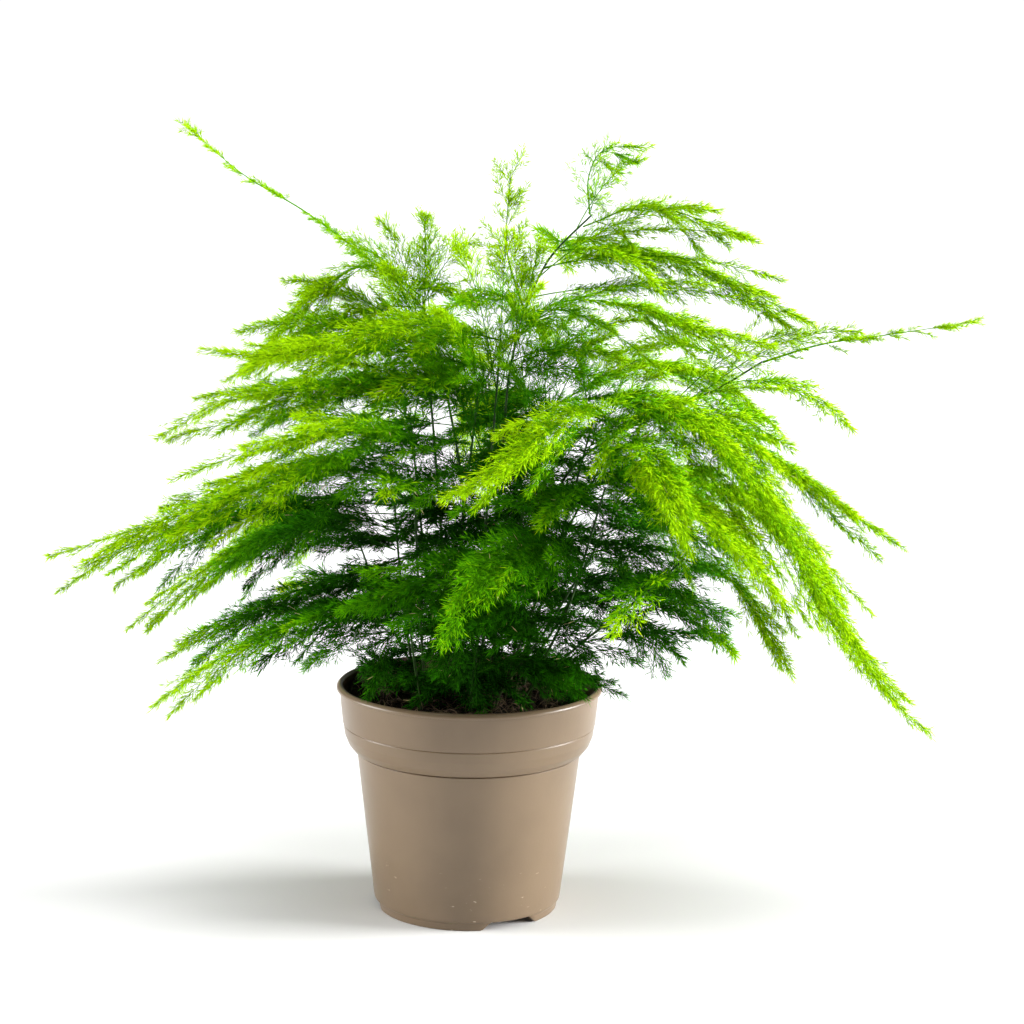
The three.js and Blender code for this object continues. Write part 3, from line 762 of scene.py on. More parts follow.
@dataclass
class NurseryPot:
    """The moulded pot: its outline turned about the axis, a notched foot ring and drainage holes."""

    axis: np.ndarray
    lip_radius: float
    height: float
    lip_depth: float = 2.4 * MM
    overhang: float = 1.5 * MM
    band_bottom: float = 76.6 * MM
    groove: float = 85.5 * MM
    shoulder: float = 73.4 * MM
    body_top: float = 50.6 * MM
    body_bottom: float = 42.2 * MM
    wall: float = 1.2 * MM
    foot_height: float = 3.8 * MM
    foot_radius: float = 41.2 * MM
    floor: tuple[float, float] = (4.0 * MM, 5.4 * MM)
    notches: int = 3
    notch_centre: float = 60.0
    notch_half: tuple[float, float] = (13.6, 19.4)
    drains: int = 8
    drain_circle: float = 30 * MM
    drain_radius: float = 2.4 * MM
    rounding: float = 0.6 * MM
    out_of_round: float = 0.0012
    around: int = 192

    def outline(self) -> np.ndarray:
        """Give the section's corners as radius and height, from the floor's middle round to its top."""
        under = self.height - self.lip_depth
        band_top = self.lip_radius - self.overhang
        band_low = self.body_top + 4 * MM
        band_mid = band_low + 1.6 * MM
        at_groove = band_mid + 0.7 * MM
        foot_in = self.foot_radius - 2.4 * MM
        crease = self.body_top - 0.75 * MM
        lip, top, foot, groove = self.lip_radius, self.height, self.foot_height, self.groove
        underside = [
            (0.0, self.floor[0]), (foot_in, self.floor[0]), (foot_in, 0.0),
            (self.foot_radius - 0.3 * MM, 0.0), (self.foot_radius, foot - 0.2 * MM),
        ]
        outside = [
            (self.body_bottom, foot + 0.3 * MM), (self.body_bottom + 0.25 * MM, foot + 1.3 * MM),
            (self.body_top, self.shoulder - 0.95 * MM), (self.body_top - 0.1 * MM, self.shoulder - 0.88 * MM),
            (crease, self.shoulder - 0.85 * MM), (crease, self.shoulder),
            (self.body_top + 1.5 * MM, self.shoulder + 0.05 * MM),
            (self.body_top + 2.0 * MM, self.shoulder + 0.7 * MM),
            (band_low, self.band_bottom), (band_mid, self.band_bottom + 4 * MM),
            (at_groove - 0.1 * MM, groove - 0.35 * MM), (at_groove - 0.5 * MM, groove + 0.05 * MM),
            (at_groove + 0.2 * MM, groove + 0.15 * MM), (band_top, under - 1.0 * MM),
        ]
        rolled_lip = [
            (band_top, under), (lip - 0.2 * MM, under), (lip, under + 0.4 * MM),
            (lip - 0.1 * MM, top - 1.1 * MM), (lip - 1.2 * MM, top), (lip - 2.2 * MM, top),
            (lip - 3.0 * MM, top - 0.9 * MM),
        ]
        inside = [
            (band_top - self.wall - 0.3 * MM, under - 2.0 * MM),
            (band_mid - self.wall, self.band_bottom + 4.4 * MM),
            (self.body_top + 1.8 * MM, self.shoulder + 2.0 * MM),
            (self.body_top - self.wall, self.shoulder + 0.6 * MM),
            (self.body_bottom - self.wall + 0.2 * MM, self.floor[1]), (0.0, self.floor[1]),
        ]
        return np.array(underside + outside + rolled_lip + inside)

    @staticmethod
    def rounded(corners: np.ndarray, radius: float, steps: int) -> np.ndarray:
        """Round a section's corners: each becomes (1-u)² a + 2u(1-u) p + u² b, a and b on either side of p.

        Args:
            corners: rows of radius and height.
            radius: how far from the corner the rounding starts, at most.
            steps: points on each rounding.

        Returns:
            The rounded rows, the two ends kept.
        """
        before, at, after = corners[:-2], corners[1:-1], corners[2:]
        back, ahead = before - at, after - at
        back_length = np.linalg.norm(back, axis=1, keepdims=True)
        ahead_length = np.linalg.norm(ahead, axis=1, keepdims=True)
        a = at + back / back_length * np.minimum(radius, 0.42 * back_length)
        b = at + ahead / ahead_length * np.minimum(radius, 0.42 * ahead_length)
        u = np.linspace(0, 1, steps)[None, :, None]
        arcs = (1 - u) ** 2 * a[:, None] + 2 * u * (1 - u) * at[:, None] + u**2 * b[:, None]
        return np.vstack([corners[:1], arcs.reshape(-1, 2), corners[-1:]])

    def notch(self, turn: np.ndarray) -> np.ndarray:
        """Share of the foot ring that is cut away at each angle: 1 in a notch, 0 between, sloped ends."""
        period = 360.0 / self.notches
        offset = np.abs((np.degrees(turn) - self.notch_centre + period / 2) % period - period / 2)
        return np.clip((self.notch_half[1] - offset) / (self.notch_half[1] - self.notch_half[0]), 0.0, 1.0)

    def shell(self) -> tuple[np.ndarray, np.ndarray]:
        """Turn the section about the axis: x = r cos a, y = r sin a, the foot lifted in its notches."""
        section = self.rounded(self.outline(), self.rounding, 5)
        turn = 2 * np.pi * np.arange(self.around) / self.around
        radius, height = section[1:-1, 0], section[1:-1, 1]
        lift = np.clip(self.foot_height - 0.05 * MM - height, 0.0, None)[:, None] * self.notch(turn)[None]
        wobble = 1.0 + self.out_of_round * np.sin(2 * turn + 0.6)[None]
        x = radius[:, None] * np.cos(turn) * wobble
        y = radius[:, None] * np.sin(turn) * wobble
        rings = np.stack([x, y, height[:, None] + lift], axis=2)
        rings[:, :, :2] += self.axis
        ends = np.array([[*self.axis, section[0, 1]], [*self.axis, section[-1, 1]]])
        return ring_shell(rings, ends[0], ends[1])

    def drain_cutters(self) -> bpy.types.Object:
        """Make the round plugs that the floor's holes are cut with."""
        work = Meshwork()
        for k in range(self.drains):
            turn = 2 * math.pi * (k + 0.5) / self.drains
            out = np.array([math.cos(turn), math.sin(turn)])
            middle = np.array([*(self.axis + self.drain_circle * out), 0.0])
            path = middle + np.array([[0, 0, 2.2 * MM], [0, 0, 7.5 * MM]])
            work.add(*tube(path, np.full(2, self.drain_radius), 24))
        return work.build("drain_cutters", [], smooth=False)

    def build(self) -> bpy.types.Object:
        """Make the pot and cut its drainage holes.

        Returns:
            The finished piece.
        """
        work = Meshwork()
        work.add(*self.shell())
        piece = work.build("pot_shell", [TaupePolypropylene().material()])
        cutters = self.drain_cutters()
        cut = piece.modifiers.new("drains", "BOOLEAN")
        cut.object = cutters
        cut.operation = "DIFFERENCE"
        cut.solver = "EXACT"
        bpy.context.view_layer.update()
        done = bpy.data.meshes.new_from_object(piece.evaluated_get(bpy.context.evaluated_depsgraph_get()))
        piece.modifiers.clear()
        piece.data = done
        bpy.data.objects.remove(cutters)
        keep_sharp(piece, 40.0)
        return piece


def keep_sharp(piece: bpy.types.Object, degrees: float) -> None:
    """Shade a piece smoothly but for edges sharper than an angle."""
    mesh = piece.data
    mesh.polygons.foreach_set("use_smooth", np.full(len(mesh.polygons), True))
    mesh.set_sharp_from_angle(angle=math.radians(degrees))


# ---- soil ---------------------------------------------------------------------------------------


@dataclass
class SoilBed:
    """The compost: a lumpy bed that fills the pot, with crumbs and coir strands lying on it."""

    axis: np.ndarray
    level: float
    rim: float
    floor: float = 5.7 * MM
    wall_radii: tuple[tuple[float, float], ...] = (
        (40.8 * MM, 5.7 * MM), (49.0 * MM, 74.0 * MM), (51.9 * MM, 75.4 * MM), (54.4 * MM, 81.0 * MM),
    )
    around: int = 168
    rings: int = 64
    heap_height: float = 11.0
    crumbs: int = 1900
    strands: int = 420

    def height(self, x: np.ndarray, y: np.ndarray) -> np.ndarray:
        """Height of the bed: two waves, a heap at the back left, and three sizes of lattice noise, in mm."""
        u, v = x / MM, y / MM
        waves = 0.9 * np.sin(0.31 * u + 1.3) * np.cos(0.27 * v) + 0.7 * np.sin(0.17 * u - 0.45 * v)
        heap = self.heap_height * np.exp(-((u + 38) ** 2 + (v - 22) ** 2) / (2 * 15.0**2))
        lumps = (
            1.3 * lattice_noise(u / 7, v / 7, 1) + 0.8 * lattice_noise(u / 3, v / 3, 2)
            + 0.35 * lattice_noise(u / 1.3, v / 1.3, 3)
        )
        return self.level + MM * (np.minimum(waves + heap, self.heap_height) + lumps)

    def bed(self) -> tuple[np.ndarray, np.ndarray]:
        """Rings up the wall, then rings of falling radius over the top, shut at the middle."""
        turn = 2 * np.pi * np.arange(self.around) / self.around
        circle = np.column_stack([np.cos(turn), np.sin(turn)])
        walls = [np.column_stack([r * circle, np.full(self.around, z)]) for r, z in self.wall_radii]
        radii = self.rim * np.linspace(1.0, 0.012, self.rings)
        flat = radii[:, None, None] * circle[None]
        top = np.concatenate([flat, self.height(flat[..., 0], flat[..., 1])[..., None]], axis=2)
        rings = np.concatenate([np.array(walls), top])
        rings[:, :, :2] += self.axis
        middle = float(self.height(np.zeros(1), np.zeros(1))[0])
        return ring_shell(rings, np.array([*self.axis, self.floor]), np.array([*self.axis, middle]))

    def scattered(self, count: int, rng: np.random.Generator, reach: float) -> np.ndarray:
        """Give count places on the bed, evenly by area, as x, y from the axis."""
        radius = reach * np.sqrt(rng.uniform(0, 1, count))
        turn = rng.uniform(0, 2 * np.pi, count)
        return np.column_stack([radius * np.cos(turn), radius * np.sin(turn)])

    def crumb_shells(self, rng: np.random.Generator) -> tuple[np.ndarray, np.ndarray]:
        """Irregular twenty-faced crumbs: each corner of a solid of twenty faces moved out or in at random."""
        golden = (1 + math.sqrt(5)) / 2
        corners = unit(np.array([
            (-1, golden, 0), (1, golden, 0), (-1, -golden, 0), (1, -golden, 0),
            (0, -1, golden), (0, 1, golden), (0, -1, -golden), (0, 1, -golden),
            (golden, 0, -1), (golden, 0, 1), (-golden, 0, -1), (-golden, 0, 1),
        ], float))
        faces = np.array([
            (0, 11, 5), (0, 5, 1), (0, 1, 7), (0, 7, 10), (0, 10, 11),
            (1, 5, 9), (5, 11, 4), (11, 10, 2), (10, 7, 6), (7, 1, 8),
            (3, 9, 4), (3, 4, 2), (3, 2, 6), (3, 6, 8), (3, 8, 9),
            (4, 9, 5), (2, 4, 11), (6, 2, 10), (8, 6, 7), (9, 8, 1),
        ])
        place = self.scattered(self.crumbs, rng, self.rim - 1.2 * MM)
        size = MM * rng.lognormal(-0.35, 0.5, self.crumbs).clip(0.3, 2.8)
        shape = corners[None] * rng.uniform(0.65, 1.15, (self.crumbs, 12, 1))
        shape = shape * rng.uniform(0.55, 1.25, (self.crumbs, 1, 3)) * size[:, None, None]
        spin = rng.uniform(0, 2 * np.pi, self.crumbs)
        c, s = np.cos(spin)[:, None], np.sin(spin)[:, None]
        x, y = shape[..., 0] * c - shape[..., 1] * s, shape[..., 0] * s + shape[..., 1] * c
        z = shape[..., 2] * 0.8 + (self.height(place[:, 0], place[:, 1]) + 0.25 * size)[:, None]
        vertices = np.stack([x + place[:, :1] + self.axis[0], y + place[:, 1:] + self.axis[1], z], axis=2)
        all_faces = (faces[None] + 12 * np.arange(self.crumbs)[:, None, None]).reshape(-1, 3)
        return vertices.reshape(-1, 3), all_faces

    def strand_shells(self, rng: np.random.Generator) -> tuple[np.ndarray, np.ndarray]:
        """Coir strands: a heading that turns steadily, carried over the bed in low arches."""
        steps = 9
        start = self.scattered(self.strands, rng, self.rim - 5 * MM)
        length = MM * rng.uniform(6, 26, self.strands)
        heading = rng.uniform(0, 2 * np.pi, self.strands)[:, None]
        bend = rng.normal(0, 1.2, self.strands)[:, None]
        share = np.linspace(0, 1, steps)[None]
        way = heading + bend * share + 0.5 * np.sin(7 * share + heading)
        step = length[:, None] / (steps - 1)
        x = start[:, :1] + np.cumsum(np.cos(way) * step, axis=1)
        y = start[:, 1:] + np.cumsum(np.sin(way) * step, axis=1)
        reach = np.hypot(x, y)
        pull = np.minimum(1.0, (self.rim - 1.0 * MM) / reach)
        x, y = x * pull, y * pull
        arch = MM * rng.uniform(0.2, 2.6, self.strands)[:, None] * np.sin(np.pi * share)
        z = self.height(x, y) + 0.25 * MM + arch
        paths = np.stack([x + self.axis[0], y + self.axis[1], z], axis=2)
        radii = MM * rng.uniform(0.08, 0.26, self.strands)[:, None] * (1 - 0.5 * share)
        return many_tubes(paths, radii)

    def build(self) -> bpy.types.Object:
        """Make the bed with its crumbs and strands.

        Returns:
            The finished piece.
        """
        rng = np.random.default_rng(11)
        work = Meshwork()
        work.add(*self.bed())
        work.add(*self.crumb_shells(rng), slot=1)
        work.add(*self.strand_shells(rng), slot=2)
        crumb = Compost((0.010, 0.006, 0.0035), (0.040, 0.024, 0.013), (0.14, 0.088, 0.048), "crumb")
        materials = [Compost().material(), crumb.material(), Fibre().material()]
        return work.build("soil_bed", materials)


# ---- stems --------------------------------------------------------------------------------------


@dataclass
class Stem:
    """A wiry stem: a smooth tapering tube with swollen nodes and a small spur at each of them."""

    spine: Spine
    radii: np.ndarray
    seed: int
    node_every: float = 15 * MM
    spur_length: float = 2.1 * MM
    spur_width: float = 0.7 * MM
    slimness: float = 0.76
    sides: int = 10

    def build(self, name: str, material: bpy.types.Material) -> bpy.types.Object:
        """Make the stem.

        Args:
            name: the piece's name.
            material: the stem's finish.

        Returns:
            The finished piece.
        """
        rng = np.random.default_rng(self.seed)
        share = np.linspace(0, 1, len(self.spine.points))
        beats = self.spine.length / self.node_every
        swelling = 1 + 0.16 * np.exp(-(((share * beats) % 1.0 - 0.5) ** 2) / 0.004)
        vertices, faces = tube(self.spine.points, self.radii * self.slimness * swelling, self.sides)
        height = np.append(np.repeat(share, self.sides), [0.0, 1.0])
        work = Meshwork()
        work.add(vertices, faces, np.column_stack([np.full(len(height), 0.5), height]))
        nodes = (np.arange(int(beats)) + 0.5) / beats
        point, tangent, side, over = self.spine.at(nodes)
        turn = (np.arange(len(nodes)) * GOLDEN_TURN + rng.uniform(0, 6))[:, None]
        out = np.cos(turn) * side + np.sin(turn) * over
        foot = point + out * np.interp(nodes, share, self.radii)[:, None] * 0.7 * self.slimness
        tip = foot + unit(out - 0.7 * tangent) * self.spur_length
        spurs = needles(foot, tip, np.full(len(nodes), self.spur_width), np.zeros(len(nodes)))
        work.add(*spurs, np.column_stack([np.full(4 * len(nodes), 0.5), np.repeat(nodes, 4)]))
        return work.build(name, [material])


# ---- foliage ------------------------------------------------------------------------------------


THICK_RIB = 0.35 * MM
RIB_TIP = 0.09 * MM
BRANCH_RADII = (0.14 * MM, 0.08 * MM)
TWIG_WIDTH = 0.15 * MM
TWIG_LONGEST = 11 * MM
TUFT_LENGTH = 14 * MM
STRAW_SHARE = 0.003


@dataclass(frozen=True)
class Growth:
    """How a shoot carries its foliage, in metres and degrees, and how near the pot's wall it may hang."""

    branch_every: float = 4.6 * MM
    twig_every: float = 3.8 * MM
    needle_every: float = 1.5 * MM
    cluster: int = 4
    needle: float = 6.0 * MM
    needle_width: float = 0.35 * MM
    angles: tuple[float, float] = (52.0, 24.0)
    taper: float = 0.8
    ragged: float = 0.3
    tufted: float = 0.0
    thickest: float = 0.40 * MM
    needles_per_area: float = 0.66 / MM**2
    hang: float = 24 * MM


class Habit(Enum):
    """The kinds of shoot."""

    PLUME = Growth(ragged=0.42, hang=14 * MM)
    FINGER = Growth(angles=(48.0, 28.0), taper=0.85, ragged=0.52, tufted=0.12, thickest=0.22 * MM)
    RUNNER = Growth(
        branch_every=3.6 * MM, twig_every=2.2 * MM, needle_every=1.1 * MM, needle=4.6 * MM,
        needle_width=0.37 * MM, angles=(50.0, 30.0), taper=0.15, ragged=0.7, tufted=0.45, thickest=0.6 * MM,
        needles_per_area=2.4 / MM**2, hang=14 * MM,
    )
    SHADED = Growth(
        needle=7.0 * MM, needle_width=0.50 * MM, angles=(48.0, 26.0), thickest=0.28 * MM,
        needles_per_area=0.56 / MM**2, hang=70 * MM,
    )
    CROWN = Growth(
        needle_width=0.36 * MM, angles=(46.0, 24.0), thickest=0.30 * MM, needles_per_area=0.86 / MM**2
    )


@dataclass(frozen=True)
class Surroundings:
    """Where the plant stands: it shades the foliage inside it, and the pot and soil keep foliage out."""

    axis: np.ndarray
    heart: float
    reach: Triple
    lip: float
    lip_height: float
    soil: SoilBed
    shortest: float = 15 * MM
    open_beside: tuple[float, float] = (0.085, 0.150)
    open_above: tuple[float, float] = (0.140, 0.230)
    deepest_shade: float = 0.16

    def light(self, points: np.ndarray) -> np.ndarray:
        """Share of light at each point.

        It grows with distance from the plant's heart, measured in its reach, and falls to a sixth close over
        the pot, where the crown shades it.
        """
        away = (points - [*self.axis, self.heart]) / np.array(self.reach)
        away[:, 2] = np.where(away[:, 2] < 0, 0.35 * away[:, 2], away[:, 2])
        radius = np.linalg.norm(points[:, :2] - self.axis, axis=1)
        beside = smooth_step(*self.open_beside, radius)
        above = smooth_step(*self.open_above, points[:, 2])
        open_sky = np.minimum(beside + above, 1.0)
        return smooth_step(0.27, 0.98, np.linalg.norm(away, axis=1)) * mix(self.deepest_shade, 1.0, open_sky)

    def clear(self, points: np.ndarray, hang: float) -> np.ndarray:
        """Tell which points are clear of the soil, and of the pot's wall by a distance of hang.

        Foliage that is kept further out also passes higher over the lip, by a fifth of that distance.
        """
        x, y = points[:, 0] - self.axis[0], points[:, 1] - self.axis[1]
        radius = np.hypot(x, y)
        over_lip = self.lip_height + 0.2 * hang
        floor = np.where(radius < self.lip - 7 * MM, self.soil.height(x, y) + 0.3 * MM, over_lip)
        return (points[:, 2] > floor) | (radius > self.lip + hang)

    def cut(self, spine: Spine, hang: float) -> Spine | None:
        """Cut a spine off where it first runs into the pot or the soil.

        Args:
            spine: the middle line.
            hang: how near the pot's wall it may come below the lip.

        Returns:
            The part before that, or None where too little is left to grow on.
        """
        blocked = np.flatnonzero(~self.clear(spine.points, hang))
        if not len(blocked):
            return spine
        end = int(blocked[0])
        if end < 5 or spine.length * end / len(spine.points) < self.shortest:
            return None
        kept = (rows[:end] for rows in (spine.points, spine.tangents, spine.sides, spine.overs))
        return Spine(*kept, spine.half_width)


@dataclass
class Twigs:
    """Many short curved twigs as arrays: where each starts, its way, bend, plane, length and age."""

    start: np.ndarray
    way: np.ndarray
    bend: np.ndarray
    over: np.ndarray
    length: np.ndarray
    age: np.ndarray

    def point(self, index: np.ndarray, share: np.ndarray) -> np.ndarray:
        """Place on twig index at a share u of its length: start + length (u way + u² bend)."""
        u = share[:, None]
        return self.start[index] + self.length[index, None] * (u * self.way[index] + u**2 * self.bend[index])

    def heading(self, index: np.ndarray, share: np.ndarray) -> np.ndarray:
        """Way that twig index leads at a share of its length."""
        return unit(self.way[index] + 2 * share[:, None] * self.bend[index])

    def stations(self, every: float, first: float) -> tuple[np.ndarray, np.ndarray, np.ndarray]:
        """Split the twigs at a spacing.

        Args:
            every: distance between stations.
            first: share of the twig that stays bare.

        Returns:
            For each station its twig's number, its share of the twig's length and its place in the row.
        """
        counts = np.maximum(1, np.floor(self.length * (1 - first) / every).astype(int))
        index = np.repeat(np.arange(len(counts)), counts)
        order = np.arange(len(index)) - np.repeat(np.cumsum(counts) - counts, counts)
        return index, first + (1 - first) * (order + 0.5) / counts[index], order

    def chosen(self, keep: np.ndarray) -> Twigs:
        """Keep some of the twigs."""
        every = (self.start, self.way, self.bend, self.over, self.length, self.age)
        return Twigs(*(rows[keep] for rows in every))


class Foliage:
    """Gathers the sprays of one piece: their woody parts as they come, their needles thinned evenly."""

    def __init__(self, around: Surroundings, rng: np.random.Generator) -> None:
        """Start with bare wood."""
        self.around = around
        self.rng = rng
        self.work = Meshwork()
        self.blades: list[np.ndarray] = []

    def wood_places(self, points: np.ndarray) -> np.ndarray:
        """Places on the finish map for woody parts, darker in painted shade where the plant shades them: a
        small wave keeps every face's place open.
        """
        k = np.arange(len(points))
        # Painted shade: wood inside the plant gets a darker tone, wood in the open a brighter one.
        u = np.clip(0.15 + 0.5 * self.around.light(points) + 0.006 * np.sin(k * 2.1), 0.02, 0.93)
        return np.column_stack([u, 0.88 + 0.02 * np.cos(k * 1.7)])

    def add_wood(self, shell: tuple[np.ndarray, np.ndarray]) -> None:
        """Take in a woody shell."""
        self.work.add(*shell, self.wood_places(shell[0]))

    def midrib(self, spine: Spine, growth: Growth) -> None:
        """Lay the spray's own rib along its middle line: a thick one has more stations and sides."""
        stations, sides = (36, 6) if growth.thickest > THICK_RIB else (14, 4)
        share = np.linspace(0, 1, stations)
        self.add_wood(tube(spine.at(share)[0], mix(growth.thickest, RIB_TIP, share), sides))

    def branches(self, spine: Spine, growth: Growth, bare: float) -> Twigs:
        """Side branches of a spray: alternate, swept forward, drooping a little more towards their tips.

        Args:
            spine: the spray's middle line.
            growth: its measures.
            bare: share of it without branches, from its base.

        Returns:
            The branches that stay clear of the pot.
        """
        rng = self.rng
        count = max(2, int(spine.length * (1 - bare) / growth.branch_every * 2))
        even = (np.arange(count) + rng.uniform(0.1, 0.9, count)) / count
        share = bare + (1 - bare) * even
        point, tangent, side, over = spine.at(share)
        hand = np.where(np.arange(count) % 2 == 0, 1.0, -1.0)[:, None]
        swept = mix(growth.angles[0], growth.angles[1], even**0.7)
        angle = np.radians(swept + rng.normal(0, 5, count))[:, None]
        outline = np.minimum(1.0, 0.45 + even / 0.35) * (1 - even) ** growth.taper
        ragged = 1 - growth.ragged * rng.uniform(0, 1, count)
        length = spine.half_width * outline * ragged / np.sin(angle[:, 0]) ** 0.7 + 2.2 * MM
        flat = np.cos(angle) * tangent + np.sin(angle) * hand * side
        way = unit(flat + rng.normal(0.04, 0.16, (count, 1)) * over)
        droop = np.array([[0.0, 0.0, -1.0]]) * rng.uniform(0.0, 0.26, (count, 1))
        bend = 0.26 * tangent + droop + 0.05 * rng.normal(0, 1, (count, 3))
        made = Twigs(point, way, bend, over, length, even)
        every = np.arange(count)
        tuft = 0.5 + 0.5 * np.sin(spine.length / (2.6 * MM) * share + 3.0 * np.sin(9.0 * share))
        clear = tuft >= growth.tufted
        for u in (0.5, 1.0):
            clear &= self.around.clear(made.point(every, np.full(count, u)), growth.hang)
        return made.chosen(clear)

    def side_twigs(self, growth: Growth, parents: Twigs) -> Twigs:
        """Twigs on the branches: alternate, in the branch's plane, shorter towards its tip."""
        rng = self.rng
        index, share, order = parents.stations(growth.twig_every, 0.10)
        share = np.clip(share + rng.normal(0, 0.012, len(share)), 0.03, 0.99)
        heading = parents.heading(index, share)
        over = parents.over[index]
        side = unit(np.cross(over, heading))
        hand = np.where((order + index) % 2 == 0, 1.0, -1.0)[:, None]
        angle = np.radians(rng.normal(38, 7, len(index)))[:, None]
        lift = rng.normal(0.0, 0.2, (len(index), 1))
        way = unit(np.cos(angle) * heading + np.sin(angle) * hand * side + lift * over)
        length = np.minimum(0.42 * parents.length[index] * (1 - share) ** 0.7, TWIG_LONGEST)
        length = length * rng.uniform(0.6, 1.1, len(index)) + 1.0 * MM
        bend = 0.22 * heading + np.array([0.0, 0.0, -0.10])
        age = mix(parents.age[index], 1.0, 0.35 * share)
        return Twigs(parents.point(index, share), way, bend, over, length, age)

    def dress(self, growth: Growth, twigs: Twigs, first: float) -> None:
        """Set clusters of needles along twigs, each fanned round its twig and flattened into its plane.

        Args:
            growth: the spray's measures.
            twigs: what the needles grow on.
            first: share of each twig that is bare.
        """
        rng = self.rng
        index, share, _ = twigs.stations(growth.needle_every, first)
        index, share = np.repeat(index, growth.cluster), np.repeat(share, growth.cluster)
        count = len(index)
        share = np.clip(share + rng.normal(0, 0.01, count), 0, 1)
        heading = twigs.heading(index, share)
        over = twigs.over[index]
        side = unit(np.cross(over, heading))
        turn = rng.uniform(0, 2 * np.pi, (count, 1))
        lean = np.radians(rng.uniform(18, 56, (count, 1)))
        fan = np.cos(turn) * side + 0.7 * np.sin(turn) * over
        way = unit(np.cos(lean) * heading + np.sin(lean) * fan)
        length = growth.needle * rng.uniform(0.7, 1.15, count) * (1 - 0.35 * share)
        base = twigs.point(index, share)
        age = mix(twigs.age[index], 1.0, 0.3 * share)
        width = growth.needle_width * rng.uniform(0.85, 1.2, count)
        self.blades.append(np.column_stack([base, base + way * length[:, None], age, width]))

    def spray(self, spine: Spine, habit: Habit, bare: float = 0.04, lit: float = 0.0) -> None:
        """Grow one flat spray: rib, branches, twigs and needles, thinned evenly, with a tuft at its tip.

        Args:
            spine: the spray's middle line.
            habit: its kind.
            bare: share of it without branches, from its base.
            lit: painted light, added to its needles' age: how much brighter it is painted than its place
                alone makes it, darker where it is below zero.
        """
        growth = habit.value
        if habit not in (Habit.PLUME, Habit.RUNNER):
            spine = self.around.cut(spine, growth.hang)
            if spine is None:
                return
        before = len(self.blades)
        self.midrib(spine, growth)
        branches = self.branches(spine, growth, bare)
        count = len(branches.length)
        if count:
            steps = np.linspace(0, 1, 3)
            index, at = np.repeat(np.arange(count), 3), np.tile(steps, count)
            radii = mix(*BRANCH_RADII, steps)[None] * np.ones((count, 1))
            self.add_wood(many_tubes(branches.point(index, at).reshape(count, 3, 3), radii))
            twigs = self.side_twigs(growth, branches)
            every = np.arange(len(twigs.length))
            tips = twigs.point(every, np.ones(len(every)))
            self.add_wood(needles(twigs.start, tips, np.full(len(every), TWIG_WIDTH), np.zeros(len(every))))
            self.dress(growth, branches, 0.08)
            self.dress(growth, twigs, 0.05)
        start = spine.points[-1:] - TUFT_LENGTH * spine.tangents[-1:]
        length, age = np.array([TUFT_LENGTH + 1.5 * MM]), np.array([0.9])
        end = Twigs(start, spine.tangents[-1:], 0 * start, spine.overs[-1:], length, age)
        self.dress(growth, end, 0.0)
        self.dress(growth, end, 0.0)
        blades = np.concatenate(self.blades[before:])
        del self.blades[before:]
        bases, tips = blades[:, :3], blades[:, 3:6]
        blades = blades[self.around.clear(bases, growth.hang) & self.around.clear(tips, growth.hang)]
        most = int(1.2 * spine.length * spine.half_width * growth.needles_per_area)
        # Painted light from lit, and a random tone for the whole spray.
        blades[:, 6] += lit + self.rng.normal(0, 0.20)
        self.blades.append(blades[self.rng.permutation(len(blades))[:most]])

    def places(self, base: np.ndarray, age: np.ndarray) -> np.ndarray:
        """Place on the finish map of each blade's corners: u by painted light and shade, age and chance, v
        along the blade.
        """
        rng = self.rng
        # Painted shade: needles that the plant shades get a darker tone, those in the open a brighter one.
        tone = 0.08 + 0.76 * self.around.light(base) + 0.28 * (age - 0.4) + rng.normal(0, 0.07, len(age))
        tone = np.clip(tone, 0.02, 0.93)
        tone = np.where(rng.uniform(0, 1, len(age)) < STRAW_SHARE, 0.985, tone)
        u = tone[:, None] + np.array([0.0, 0.004, -0.004, 0.0])
        v = np.array([0.02, 0.30, 0.32, 0.70])[None] + np.zeros((len(age), 1))
        return np.stack([u, v], axis=2).reshape(-1, 2)

    def build(self, name: str, material: bpy.types.Material) -> bpy.types.Object:
        """Make the piece.

        Args:
            name: the piece's name.
            material: the foliage's finish.

        Returns:
            The finished piece.
        """
        blades = np.concatenate(self.blades)
        base, tip, age, width = blades[:, :3], blades[:, 3:6], blades[:, 6], blades[:, 7]
        shell = needles(base, tip, width, self.rng.uniform(0, np.pi, len(base)))
        self.work.add(*shell, self.places(base, age))
        log.info("%s: %d needles, %d triangles", name, len(base), self.work.triangles())
        return self.work.build(name, [material])


def line_spine(points: np.ndarray, up: np.ndarray, half_width: float) -> Spine:
    """Make a spine from a path and the way its upper face looks."""
    tangents = unit(np.gradient(points, axis=0))
    sides = unit(np.cross(tangents, up))
    return Spine(points, tangents, sides, np.cross(sides, tangents), half_width)


